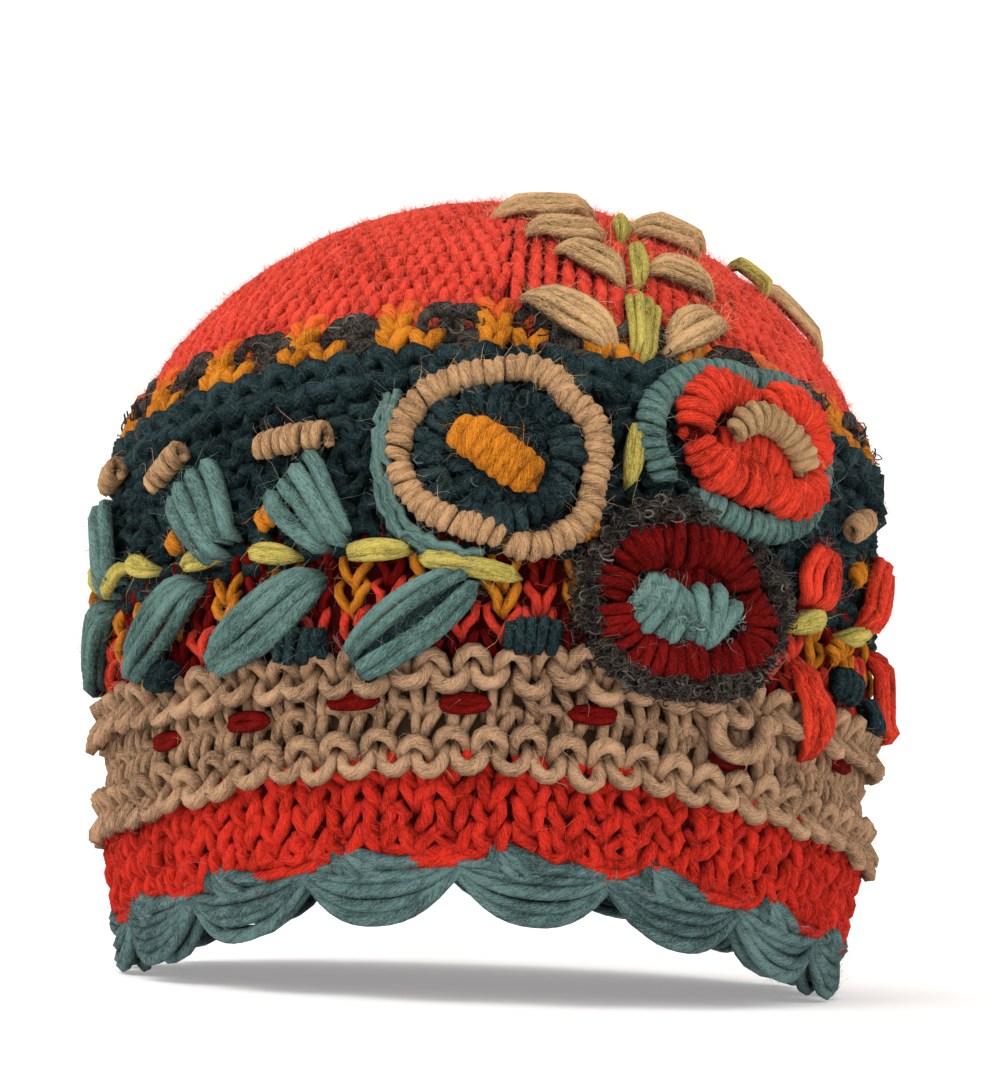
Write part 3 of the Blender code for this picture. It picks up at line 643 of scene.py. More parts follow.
def felt(name, colour):
    """The close knitted ground seen between the stitches and inside the hat, in the darkened colour that
    ground() gives it as painted shade.
    """
    finish = Finish(name)
    where = finish.node("ShaderNodeTexCoord", {}, {}).outputs["Object"]
    grain, patches = finish.noise(where, 900.0, 4.0, 0.65), finish.noise(where, 90.0, 2.0, 0.5)
    stops = [(0.2, shade(colour, 0.45)), (0.5, shade(colour, 0.85)), (0.85, shade(colour, 1.25))]
    ramp = finish.node("ShaderNodeValToRGB", {"stops": stops}, {"Fac": grain * 0.7 + patches * 0.3})
    bump = finish.node("ShaderNodeBump", {}, {"Strength": 0.6, "Distance": 0.0008, "Height": grain})
    return finish.surface({
        "Base Color": ramp.outputs[0],
        "Normal": bump.outputs[0],
        "Roughness": 0.95,
        "Specular IOR Level": 0.1,
        "Sheen Weight": 0.2,
        "Sheen Tint": (*toward(colour, WHITE, 0.3), 1.0),
    })


def paint(name, share=1.0):
    """One of the colours that the user can change, made darker or lighter by its share."""
    return shade(getattr(bpy.context.scene.hat_colours, name), share)


def sizes():
    return bpy.context.scene.hat_sizes


def stitch_angles(shift=0.0):
    """Angle of each stitch of a row, turned back by a shift in degrees."""
    return (np.arange(STITCHES) + 0.5) * STITCH_TURN - math.radians(shift)


def numbered(stem, count):
    return [f"{stem}_{number}" for number in range(1, count + 1)]


def ground(band, level_of=None):
    """A closed ring or dome of wall under the stitches, with the small bumps of purl inside."""
    name, shade_felt_name, colour, share, slot, outside, node = GROUNDS[band]
    low, high = SPANS[band]
    closed_top = band == "crown"
    if closed_top:
        high -= CROWN_GAP
    count = STITCHES * 2
    angles = math.tau * np.arange(count) / count
    half_rows = max(int(round((high - low) / sizes().row_height * 2)), 2)
    outer = half_rows // 3 + 2

    def loop(part, out):
        level = level_of(angles, part) if level_of else low + part * (high - low)
        return on_hat(angles, length_at(angles, level), out)

    loops = [loop(part, outside) for part in np.linspace(0, 1, outer)]
    for row in range(half_rows, -1, -1):
        purl = np.cos(angles * STITCHES + math.pi * (row % 2))
        loops.append(loop(row / half_rows, -WALL - 0.0004 + 0.0007 * purl))
    points = np.vstack(loops)
    points[:, 2] = np.maximum(points[:, 2], 0.0008)
    total = len(loops)
    index = np.arange(total * count).reshape(total, count)
    faces = []
    for first in range(total):
        if not (closed_top and first == outer - 1):
            a, b = index[first], index[(first + 1) % total]
            faces += np.stack([a, np.roll(a, -1), np.roll(b, -1), b], axis=-1).tolist()
    if closed_top:
        faces += [index[outer - 1].tolist(), index[outer].tolist()[::-1]]
    mesh = bpy.data.meshes.new(name)
    mesh.from_pydata(points.tolist(), [], faces)
    # The felt is the band's wool darkened by its share: painted shade for the gaps between the stitches, and
    # the same inside the hat.
    mesh.materials.append(felt(shade_felt_name, paint(colour, share)))
    mesh.shade_smooth()
    finish_piece(mesh, slot, node)


def stitch_rows(
    strands, angles, level, width, height, yarn, base, jitter,
    spread_of=None, legs=KNIT_LEG, ends=0.62,
):
    """Knit stitches, each of two legs that meet at its foot."""
    leg = np.array(legs)
    number, random = len(angles), strands.random
    spread = np.ones(number) if spread_of is None else spread_of
    for side in (-1, 1):
        wobble = random.normal(0, jitter, (number, len(leg)))
        x = side * leg[:, 0] * width * spread[:, None] + wobble * width * 0.5
        y = leg[:, 1] * height + random.normal(0, jitter, (number, 1)) * height * 0.6
        out = base + leg[:, 2] * yarn * 0.5 + random.normal(0, jitter, (number, 1)) * yarn * 0.5
        paths = knitted(angles[:, None], level, x, y, out)
        radii = yarn / 2 * np.array([ends, 0.90, 1.0, 1.0, 0.92, ends])
        radii = radii * (0.6 + 0.4 * spread[:, None]) * random.uniform(0.88, 1.1, (number, 1))
        strands.add(paths, radii)


def arches(
    strands, angles, level, width, height, yarn, base, up,
    jitter=0.05, proud=1.0, points=7, sides=5, reach=0.36,
):
    """Round loops, the reverse of knit stitches: up is 1 for a hoop and -1 for a hanging loop."""
    turn = np.linspace(math.radians(-38), math.radians(218), points)
    each, random = (len(angles), 1), strands.random
    x = -np.cos(turn) * width * reach + random.normal(0, jitter, each) * width * 0.5
    x = x * random.uniform(0.92, 1.08, each)
    y = up * (np.sin(turn) * height * 0.42 - height * 0.06) + random.normal(0, jitter, each) * height
    lift = np.clip(np.sin(turn), -0.6, 1)
    out = base + (lift * 0.95 - 0.35) * yarn * proud * 0.5 + random.normal(0, jitter, each) * yarn
    taper = 0.72 + 0.28 * np.clip(np.sin(turn) + 0.4, 0, 1)
    radii = yarn / 2 * taper * random.uniform(0.9, 1.08, each)
    strands.add(knitted(angles[:, None], level, x, y, out), radii, sides)


def bullion(
    strands, origin, points, half, height, pitch, yarn,
    lift=0.0, closed=False, wild=0.0, sides=5, tone=0.5, taper=0.6, fine=9,
):
    """Yarn wound round and round along a curve, as in a bullion stitch."""
    flat = np.asarray(points, float) * MM
    length = np.linalg.norm(np.diff(smooth(flat, 90, closed), axis=0), axis=1).sum()
    turns = max(int(round(length / pitch)), 2)
    steps = turns * fine + 1
    line = smooth(flat, steps, closed)
    share = np.linspace(0, 1, steps)
    along = unit(np.gradient(line, axis=0))
    side = np.stack([along[:, 1], -along[:, 0]], axis=-1)
    phase = share * turns * math.tau
    random = strands.random
    loop = np.arange(turns + 1)
    swell = np.interp(share * turns, loop, 1 + random.normal(0, 0.05 + wild * 0.25, turns + 1))
    drift = np.interp(share * turns, loop, random.normal(0, 0.06 + wild * 0.35, turns + 1)) * yarn
    if not closed:
        ends = np.clip(np.minimum(share, 1 - share) * length / half / 1.1, 0, 1)
        swell = swell * (taper + (1 - taper) * np.sqrt(1 - (1 - ends) ** 2))
    radius = yarn / 2
    flatten = (half - radius) * swell * np.cos(phase)
    raised = lift + radius + (height - yarn) / 2 * swell * (1 + np.sin(phase))
    x = line[:, 0] + side[:, 0] * flatten + along[:, 0] * drift
    y = line[:, 1] + side[:, 1] * flatten + along[:, 1] * drift
    core = stitched(origin, line[:, 0], line[:, 1], lift + height / 2)
    thick = radius * np.interp(share * turns, loop, random.uniform(0.9, 1.1, turns + 1))
    strands.add(stitched(origin, x, y, raised)[None], thick, sides, tone, core=core[None])


def curls(strands, origin, points, half, height, number, size, closed=False, yarn=0.00036, tone=0.7):
    """Small loose loops of a shaggy yarn, strewn along a curve."""
    count, each, random = 200, (number, 1), strands.random
    line = smooth(np.asarray(points, float) * MM, count, closed)
    pick = random.integers(0, count, number)
    across = random.uniform(-1, 1, (number, 2))
    across /= np.maximum(np.linalg.norm(across, axis=1, keepdims=True), 1.0)
    radius = size * MM * random.uniform(0.4, 1.0, each)
    start = random.uniform(0, math.tau, each)
    turn = start + np.linspace(0, 1, 6) * random.uniform(2.5, 5.2, each)
    x = line[pick, :1] + across[:, :1] * half + np.cos(turn) * radius
    y = line[pick, 1:] + across[:, 1:] * half + np.sin(turn) * radius * random.uniform(0.4, 1.0, each)
    crest = height * np.sqrt(1.02 - (across**2).sum(1, keepdims=True).clip(0, 1))
    lean = random.uniform(0, math.tau, each)
    out = np.maximum(crest - yarn + np.sin(turn + lean) * radius * 0.55, 0.0002)
    radii = yarn / 2 * random.uniform(0.7, 1.3, each)
    strands.add(stitched(origin, x, y, out), radii, 3, tone, 0.5)


def between_places(base, tip):
    """(origin, half of the way) of a piece from one place to another."""
    middle = (base[1] + tip[1]) / 2
    reach = np.array([(tip[0] - base[0]) * float(around(middle)), tip[1] - base[1]])
    return ((base[0] + tip[0]) / 2, middle), reach / 2


def lay_strands(
    strands, base, tip, half, height, offsets, yarn,
    bend=0.0, belly=0.7, fan=False, points=13, point=0.5, dome=2.4, taper=0.16,
):
    """Long strands laid side by side from a base to a tip, their ends drawn into the knitting."""
    origin, reach = between_places(base, tip)
    random = strands.random
    share = np.linspace(0, 1, points)
    side = np.array([-reach[1], reach[0]]) / np.hypot(*reach)
    if fan:
        spread = 0.45 + 0.55 * np.clip(share / 0.8, 0, 1) ** 0.8 - 0.10 * np.clip((share - 0.8) / 0.2, 0, 1)
    else:
        inside = np.clip(share, 0.02, 0.98)
        rounded_tip = np.sin(math.pi * inside) ** belly
        spread = rounded_tip * (1 - point) + point * np.sin(math.pi * inside**0.8)
    rise = np.clip(np.sin(math.pi * share) * dome, 0, 1)
    ends = np.clip(np.minimum(share, 1 - share) / taper, 0, 1)
    rounded = 0.30 + 0.70 * np.sqrt(1 - (1 - ends) ** 2)
    for offset in offsets:
        drift = random.normal(0, 0.07) * half
        start, stop = random.uniform(-1, 1, 2) * (0.08 if fan else 0.03)
        along = start + (1 + stop - start) * share
        across = (offset * (half - yarn / 2) + drift * np.sin(math.pi * share)) * spread
        across = across + bend * 4 * share * (1 - share) * np.hypot(*reach) * 2
        x = -reach[0] + 2 * reach[0] * along + side[0] * across
        y = -reach[1] + 2 * reach[1] * along + side[1] * across
        crest = math.sqrt(max(1 - (0.8 * offset) ** 2, 0.1)) * random.uniform(0.75, 1.15)
        out = -0.35 * yarn * (1 - rise) + rise * (yarn / 2 + (height - yarn) * crest)
        thick = yarn / 2 * rounded * random.uniform(0.85, 1.12)
        strands.add(stitched(origin, x, y, out)[None], thick, sides=6, spread=0.3)


def single_stitch(strands, degrees, length, long, turn, half, yarn, height):
    """A short satin stitch of three strands laid side by side."""
    angle, at = math.radians(degrees), length * MM
    heading = math.radians(turn)
    away = np.array([math.cos(heading), math.sin(heading)]) * (long * MM / 2)
    lean = away[0] / float(around(at))
    base, tip = (angle - lean, at - away[1]), (angle + lean, at + away[1])
    lay_strands(strands, base, tip, half, height, (-0.8, 0.0, 0.8), yarn, points=9, point=0.2)


# Flowers: curves round each one's place, in millimetres
LARGE_FLOWER = (0.0, "dark", 0.43)
LARGE_PETALS = (
    ((-19.2, -0.4), (-18.4, 6.2), (-13.4, 12.6), (-7.0, 15.8), (-3.4, 17.0)),
    ((-4.4, 15.8), (0.6, 17.8), (5.6, 18.2), (10.6, 15.8), (12.8, 12.2)),
    ((11.2, 12.6), (15.8, 10.4), (19.0, 6.2), (19.4, 0.4), (18.6, -5.4)),
    ((18.8, -5.0), (17.8, -10.2), (13.8, -14.8), (7.4, -17.6), (2.0, -16.8)),
    ((1.2, -15.4), (-5.2, -13.8), (-11.8, -11.4), (-16.6, -7.2), (-19.4, -1.6)),
)
LARGE_STRAND = (
    (-21.6, 12.0), (-23.0, 4.0), (-22.9, -3.0), (-21.4, -9.0), (-18.8, -14.0), (-12.3, -18.0),
    (-3.4, -20.0),
)
LARGE_CENTRE = ((-7.2, 3.4), (-3.0, 2.0), (2.0, -1.8), (7.0, -4.6))
RED_FLOWER = (34.6, "dark", 0.68)
RED_EDGE = (
    (-19.4, -8.0), (-22.4, -0.6), (-20.6, 6.8), (-14.4, 12.0), (-6.0, 15.2), (3.6, 14.6),
    (12.6, 14.8), (19.0, 11.4), (21.4, 5.0), (21.0, -3.4), (16.6, -11.4), (8.4, -15.8),
    (0.2, -15.8), (-7.4, -14.0), (-13.6, -11.4),
)
RED_PETAL_PLACE = (35.6, "dark", 0.70)
RED_PETALS = (
    ((0.6, 6.4), (-3.4, 9.2), (-9.0, 9.8), (-13.6, 6.2), (-14.6, 0.8)),
    ((-14.4, -1.6), (-11.0, -5.8), (-5.6, -8.0), (2.0, -8.6)),
    ((2.8, -8.4), (8.4, -10.6), (13.4, -8.2), (15.8, -3.6)),
    ((15.6, -2.4), (17.0, 3.8), (13.6, 8.2), (8.0, 9.2), (2.6, 6.8)),
)
RED_PAD = ((-8.6, -1.2), (-1.0, -1.6), (6.0, -3.0), (10.0, -3.6))
RED_CENTRE = ((-7.4, 0.6), (-4.6, 3.4), (-0.4, 4.0), (3.8, 2.6), (8.0, -0.6), (10.4, -4.8))
DARK_FLOWER = (26.3, "colourwork", 0.76)
DARK_EDGE = (
    (3.2, 15.8), (-4.0, 16.6), (-12.6, 14.4), (-19.6, 8.2), (-21.6, 0.2), (-20.4, -8.0), (-15.8, -14.0),
    (-8.4, -17.4), (1.6, -17.8), (11.6, -15.2), (18.6, -9.2), (20.8, -1.0), (18.0, 6.2), (12.6, 9.6),
)
DARK_PETALS = (
    ((-17.4, -1.0), (-16.0, 5.6), (-11.6, 9.0), (-4.4, 10.4), (3.4, 10.2), (8.8, 7.4), (11.2, 2.0)),
    ((11.4, 1.4), (14.6, -2.6), (14.8, -7.4), (10.4, -11.2), (2.0, -12.2)),
    ((2.6, -12.0), (-4.0, -12.8), (-10.2, -11.8), (-14.8, -8.6), (-17.0, -2.0)),
)
DARK_PAD = ((-9.0, 1.5), (0.0, 2.5), (9.0, 1.0))
DARK_CENTRE = ((-12.6, -0.2), (-9.5, -1.9), (-5.9, -3.5), (-2.4, -4.4))
DARK_LOBE = ((-2.6, -4.3), (0.8, -3.5), (3.8, -3.8), (6.2, -5.4))

# Leaves: base angle, band and share, tip angle, band and share, then the bend
CROWN_LEAVES = (
    (16.6, "crown", -0.07, 2.0, "crown", 0.05, -0.06),
    (23.4, "crown", -0.05, 37.5, "crown", 0.09, 0.08),
    (20.5, "crown", 0.13, 8.5, "crown", 0.24, -0.06),
    (25.0, "crown", 0.20, 39.0, "crown", 0.17, 0.16),
    (21.0, "crown", 0.345, 2.0, "crown", 0.33, 0.05),
    (30.0, "crown", 0.45, 50.0, "crown", 0.42, 0.08),
    (24.0, "crown", 0.56, -9.0, "crown", 0.46, 0.04),
    (50.0, "crown", 0.64, 70.0, "crown", 0.53, 0.06),
)
SIDE_LEAVES = (
    (72.0, "crown", 0.42, 81.0, "crown", 0.20, 0.05),
    (83.0, "crown", 0.46, 101.0, "crown", 0.30, 0.06),
    (84.0, "crown", 0.64, 117.0, "crown", 0.47, 0.06),
)
# Stems: the last number is half of the width
STEMS = (
    (19.6, "crown", -0.08, 21.8, "crown", 0.08, 0.0042),
    (22.3, "crown", 0.13, 25.5, "crown", 0.30, 0.0022),
    (24.0, "crown", 0.34, 27.5, "crown", 0.47, 0.0021),
    (66.0, "crown", 0.34, 66.5, "crown", 0.46, 0.0022),
)
TEAL_FANS = (
    (-67.0, "dark", 0.10, -75.0, "dark", 0.56),
    (-37.6, "dark", 0.09, -45.0, "dark", 0.52),
    (-20.4, "dark", 0.05, -27.6, "dark", 0.42),
)
TEAL_LEAVES = (
    (-86.0, "colourwork", 0.30, -72.0, "dark", 0.02),
    (-58.0, "colourwork", 0.18, -43.5, "colourwork", 0.95),
    (-38.5, "colourwork", 0.06, -23.0, "colourwork", 0.80),
    (-17.0, "garter", 0.93, -2.5, "colourwork", 0.74),
)
RED_FANS = (
    (48.0, "colourwork", 0.98, 51.0, "dark", 0.34),
    (65.0, "dark", 0.02, 73.0, "dark", 0.46),
)
RED_LEAVES = (
    (45.8, "colourwork", 0.46, 49.0, "garter", 0.56),
    (72.0, "colourwork", 0.85, 80.0, "garter", 0.98),
)
# Short rolls: angle, band, share, length in millimetres, turn in degrees
KNOTS = (
    (-71.0, "dark", 0.76, 12.9, 14),
    (-50.5, "dark", 0.62, 12.9, 35),
    (-27.5, "dark", 0.57, 17.0, 8),
    (60.5, "dark", 0.55, 12.1, 20),
)
BLOCKS = (
    (-48.0, "colourwork", 0.06, 8.0, 0),
    (-24.4, "colourwork", 0.15, 11.5, 10),
    (5.4, "colourwork", 0.22, 12.5, 3),
    (57.5, "colourwork", 0.34, 12.0, -8),
    (67.5, "colourwork", 0.14, 11.0, -8),
)
# Single stitches: angle and length up the side, then length and turn
LIME_STITCHES = (
    (-81.0, 88.5, 15.0, -30),
    (-66.0, 86.0, 13.0, 25),
    (-56.0, 88.0, 12.0, -14),
    (-42.0, 88.0, 11.0, 8),
    (-29.5, 88.6, 11.0, -6),
    (-15.0, 89.0, 13.0, 4),
    (-3.0, 86.4, 20.0, -9),
    (46.5, 80.5, 12.0, 14),
    (60.0, 79.5, 11.0, 8),
)
LIME_UPRIGHT = (17.8, 111.0, 14.0, 82)
MAROON_STITCHES = (
    (-50.5, 51.0, 10.0, 8),
    (-34.0, 55.0, 10.5, 4),
    (-18.0, 59.5, 11.0, 3),
    (-3.0, 59.5, 10.0, 2),
    (14.0, 58.5, 10.0, -2),
    (34.5, 51.0, 9.0, -8),
    (61.0, 52.0, 9.0, -6),
)
# Amber knots: angle and length up the side of each, and the line that they are wound on
AMBER_KNOTS = ((-30.5, 96.0), (-47.0, 92.0), (-81.0, 83.0), (12.0, 95.0), (54.0, 75.0), (60.5, 92.5))
AMBER_TWIST = ((-1.6, -1.2), (0.0, 0.4), (1.6, 1.2))
# A loop that has come loose from the garter band
LOOSE_LOOP = ((-6, 3.5), (-5.6, -1.5), (-2, -4.4), (2.4, -4.2), (5.6, -1.2), (5.8, 3.2))


def make_crown():
    size = sizes()
    low, _ = SPANS["crown"]
    strands = Strands(11)
    rows = int((SIDE_LENGTH - low - 0.006) / size.row_height)
    for row in range(rows):
        level = low - 0.001 + row * size.row_height
        middle = level + np.interp(level, RISE_LEVELS, RISES) / 2
        fit = STITCHES / WEDGES * min(float(around(middle)) / HALF_WIDTH, 1.0)
        columns = np.arange(int(math.ceil(fit - 0.5)))
        narrow = np.clip(fit - columns, 0.35, 1.0)
        share = (columns + 0.5 * narrow) / fit
        angles = (np.arange(WEDGES)[:, None] + share[None, :]).ravel() * math.tau / WEDGES
        stitch_rows(
            strands, angles, level, STITCH_WIDTH, size.row_height, size.yarn * 0.82, -0.0019, 0.045,
            spread_of=np.tile(narrow, WEDGES), legs=CROWN_LEG, ends=0.8,
        )
    strands.piece("crown_stitches", "crown_red_yarn")
    closing = Strands(12)
    closing.add(on_hat(np.linspace(0, math.tau, 9), SIDE_LENGTH - 0.0055, -0.0012)[None], size.yarn * 0.42)
    for angle in np.arange(WEDGES) * math.tau / WEDGES:
        lengths = SIDE_LENGTH - np.array([0.0105, 0.008, 0.005, 0.002])
        gathered = on_hat(angle, lengths, np.array([-0.0022, -0.0012, -0.001, -0.0032]))
        closing.add(gathered[None], size.yarn * 0.45)
    closing.piece("crown_closing", "crown_red_yarn")
    halo = Strands(13)
    halo.roots, halo.outward = strands.roots, strands.outward
    halo.fuzz(size.crown_hairs, 0, length=0.0072)
    halo.hairs(size.crown_hairs * DOWN_TO_HAIRS, 0.0024, 1, 0.14, 1.45)
    halo.piece("crown_fuzz", "crown_red_yarn")
    ground("crown")


def make_fairisle():
    size = sizes()
    low, high = SPANS["fairisle"]
    row_height = (high - low) / 2
    columns = np.arange(STITCHES)
    angles = stitch_angles(FAIRISLE_SHIFT)
    amber, orange, dark = Strands(21), Strands(23), Strands(22)
    for strands, remainder, row, tall in (
        (amber, 0, 0.0, 1.1), (amber, 1, -0.1, 0.9), (amber, 0, 0.75, 1.15), (orange, 0, 1.55, 1.0),
    ):
        stitch_rows(
            strands, angles[columns % REPEAT == remainder], low + 0.0006 + row * row_height,
            STITCH_WIDTH, row_height * tall, size.yarn * 1.05, -0.0014, 0.07,
        )
    stitch_rows(
        orange, angles[columns % REPEAT == 1] - 0.15 * STITCH_TURN, high - 0.0024,
        STITCH_WIDTH * 0.8, row_height, size.yarn * 0.9, -0.0020, 0.08,
    )
    amber.fuzz(250, 900)
    amber.piece("fairisle_amber", "amber_yarn")
    orange.fuzz(140, 500)
    orange.piece("fairisle_orange", "orange_yarn")
    repeats = np.arange(STITCHES // REPEAT) * REPEAT
    for offset, level, tall in ((1.35, 0.0044, 1.2), (1.85, 0.0060, 1.1), (2.2, 0.0040, 1.0)):
        spots = (repeats + offset + 0.5) * STITCH_TURN - math.radians(FAIRISLE_SHIFT)
        for turn, drop, wide, height, yarn, base, up in (
            (0.0, 0.0, 1.5, 0.0080, 1.1, -0.0012, 1), (0.03, 0.0016, 1.4, 0.0070, 1.0, -0.0014, -1),
        ):
            arches(
                dark, spots + turn, low + level - drop, STITCH_WIDTH * wide, height * tall,
                size.yarn * yarn, base, up, jitter=0.09, points=8,
            )
    for spot in (repeats + 2.3) * STITCH_TURN - math.radians(FAIRISLE_SHIFT):
        tuft = (spot, float(length_at(spot, low + 0.0052)))
        curls(dark, tuft, ((-3.5, -0.6), (3.5, 0.6)), 0.0034, 0.0028, 22, 2.3)
    dark.fuzz(500, 1000)
    dark.piece("fairisle_charcoal", "charcoal_yarn")
    ground("fairisle")


def make_dark_band():
    size = sizes()
    low, high = SPANS["dark"]
    ridge = high - 0.0042
    angles = stitch_angles()
    dark = Strands(31)
    for row, level in enumerate(np.arange(low + 0.002, ridge - 0.004, size.row_height * 1.1)):
        turned = angles + 0.25 * STITCH_TURN * (row % 2)
        for turn, base, up in ((0.0, -0.0018, 1), (STITCH_TURN / 2, -0.0020, -1)):
            arches(
                dark, turned + turn, level, STITCH_WIDTH, size.row_height * 1.25, size.yarn, base, up,
                jitter=0.09, points=6, sides=4,
            )
    dark.fuzz(1200, 2200)
    dark.piece("dark_band_loops", "dark_teal_yarn")
    top = Strands(32)
    for turn, level, height, base, up in (
        (0.0, ridge, 0.0082, -0.0002, 1), (STITCH_TURN / 2, ridge - 0.0004, 0.0078, -0.0004, -1),
    ):
        arches(
            top, angles + turn, level, STITCH_WIDTH, height, size.yarn * 1.22, base, up,
            points=9, reach=0.40,
        )
    top.fuzz(700, 1700)
    top.piece("dark_band_ridge", "dark_teal_yarn")
    ground("dark")


def make_colourwork():
    size = sizes()
    low, high = SPANS["colourwork"]
    angles = stitch_angles(1.2)
    row_height = (high - low) / 4.2
    wools = (
        ("R", "colourwork_red", Strands(41), "red_yarn", -0.0014, 900),
        ("A", "colourwork_amber", Strands(42), "amber_yarn", -0.0014, 700),
        ("M", "colourwork_maroon", Strands(43), "maroon_yarn", -0.0024, 1800),
    )
    for row, letters in enumerate(COLOURWORK_CHART):
        for letter, _, strands, _, base, _ in wools:
            pick = np.array(list(letters * (STITCHES // len(letters)))) == letter
            if pick.any():
                level = low + 0.0002 + row * row_height
                stitch_rows(
                    strands, angles[pick], level, STITCH_WIDTH, row_height, size.yarn * 0.64, base, 0.12
                )
    for _, name, strands, yarn, _, hairs in wools:
        strands.fuzz(hairs // 5, hairs * 3 // 4)
        strands.piece(name, yarn)
    ground("colourwork")


def make_garter():
    size = sizes()
    low, high = SPANS["garter"]
    angles = stitch_angles(2.0)
    ridges = Strands(51)
    for level, shift in ((low + 0.0030, 0.0), (high - 0.0030, 0.4 * STITCH_TURN)):
        for turn, more, height, yarn, base, up, reach in (
            (0.0, 0.0006, 0.0102, 0.88, 0.0006, 1, 0.385),
            (STITCH_TURN / 2, -0.0010, 0.0094, 0.94, 0.0010, -1, 0.40),
        ):
            arches(
                ridges, angles + shift + turn, level + more, STITCH_WIDTH, height, size.yarn * yarn,
                base, up, jitter=0.075, points=10, reach=reach, proud=1.5,
            )
    ridges.fuzz(1250, 3200)
    ridges.piece("garter_ridges", "brown_yarn")
    legs = Strands(52)
    random = legs.random
    each = (STITCHES, 1)
    share = np.linspace(0, 1, 7)
    for foot, head, lean in ((0.0062, 0.0145, 1.0), (0.0125, 0.0212, -1.0)):
        for side in (-1, 1):
            slant = random.normal(0.14 * lean, 0.16, each)
            x = side * STITCH_WIDTH * (0.14 + 0.10 * share) + slant * STITCH_WIDTH * (share - 0.5)
            y = foot + (head - foot) * share + random.normal(0, 0.0004, each)
            out = -0.0030 + 0.0017 * np.sin(math.pi * share) + random.normal(0, 0.0002, each)
            paths = knitted(angles[:, None] + 0.2 * STITCH_TURN, low, x, y, out)
            legs.add(paths, size.yarn * 0.36 * random.uniform(0.85, 1.15, each), tone=0.42)
    arches(
        legs, angles + 0.5 * STITCH_TURN, low + 0.0132, STITCH_WIDTH, 0.0062, size.yarn * 0.8, -0.0024, 1,
        jitter=0.09,
    )
    legs.fuzz(280, 800)
    legs.piece("garter_legs", "brown_yarn")
    running = Strands(53)
    for stitch in MAROON_STITCHES:
        single_stitch(running, *stitch, half=0.0027, yarn=0.0024, height=0.0008)
    running.fuzz(80, 300)
    running.piece("running_stitches", "maroon_yarn")
    loop = Strands(54)
    curve = smooth(np.array(LOOSE_LOOP) * MM, 16)
    path = stitched((math.radians(35.0), 0.0565), curve[:, 0], curve[:, 1], 0.0022)
    loop.add(path[None], size.yarn * 0.58)
    loop.piece("loose_loop", "brown_yarn")
    ground("garter")


def make_red_band():
    size = sizes()
    low, high = SPANS["red"]
    angles = stitch_angles(1.0)
    red = Strands(61)
    rows = 4
    row_height = (high - low) / rows
    for row in range(rows):
        level = low + 0.0020 + row * row_height
        shift = red.random.normal(0, 0.05) * STITCH_TURN
        stitch_rows(
            red, angles + shift, level, STITCH_WIDTH * 1.05, row_height * 1.15, size.yarn * 0.88,
            -0.0018, 0.15,
        )
    arches(
        red, angles + STITCH_TURN / 2, low + 0.0048, STITCH_WIDTH, 0.0068, size.yarn * 0.85, -0.0016, -1,
        jitter=0.10,
    )
    red.piece("red_band_stitches", "deep_red_yarn")
    cord = Strands(62)
    share = np.linspace(0, 1, 14)
    from_middle = np.abs(2 * share - 1)
    for number in range(SCALLOPS):
        start = SCALLOP_JOINT + math.radians(3.6) + math.tau * number / SCALLOPS
        angle = start + share * math.tau / SCALLOPS
        level = low + 0.0004 + 0.0034 * from_middle**3
        for lift, more in ((0.0, 0.0), (0.0022, -0.0007)):
            out = -0.0006 + more - 0.0018 * from_middle**4
            cord.add(on_hat(angle, length_at(angle, level + lift), out)[None], size.yarn * 0.42)
    cord.roots += red.roots
    cord.outward += red.outward
    cord.fuzz(1200, 4600)
    cord.piece("red_band_edge", "deep_red_yarn")
    ground("red")


def scallop_level(angles, share):
    """Level of the ground behind the scallops, whose lower edge follows them."""
    turn = (angles - SCALLOP_JOINT + SCALLOP_NOTCH) / math.tau * SCALLOPS
    edge = 0.0018 + 0.0066 * np.abs(2 * (turn % 1.0) - 1) ** 3
    return edge + share * (SPANS["scallop"][1] + 0.001 - edge)


def above_floor(path, yarn):
    """The path, lifted where its yarn would lie below the floor."""
    path[:, 2] = np.maximum(path[:, 2], yarn * 0.62)
    return path[None]


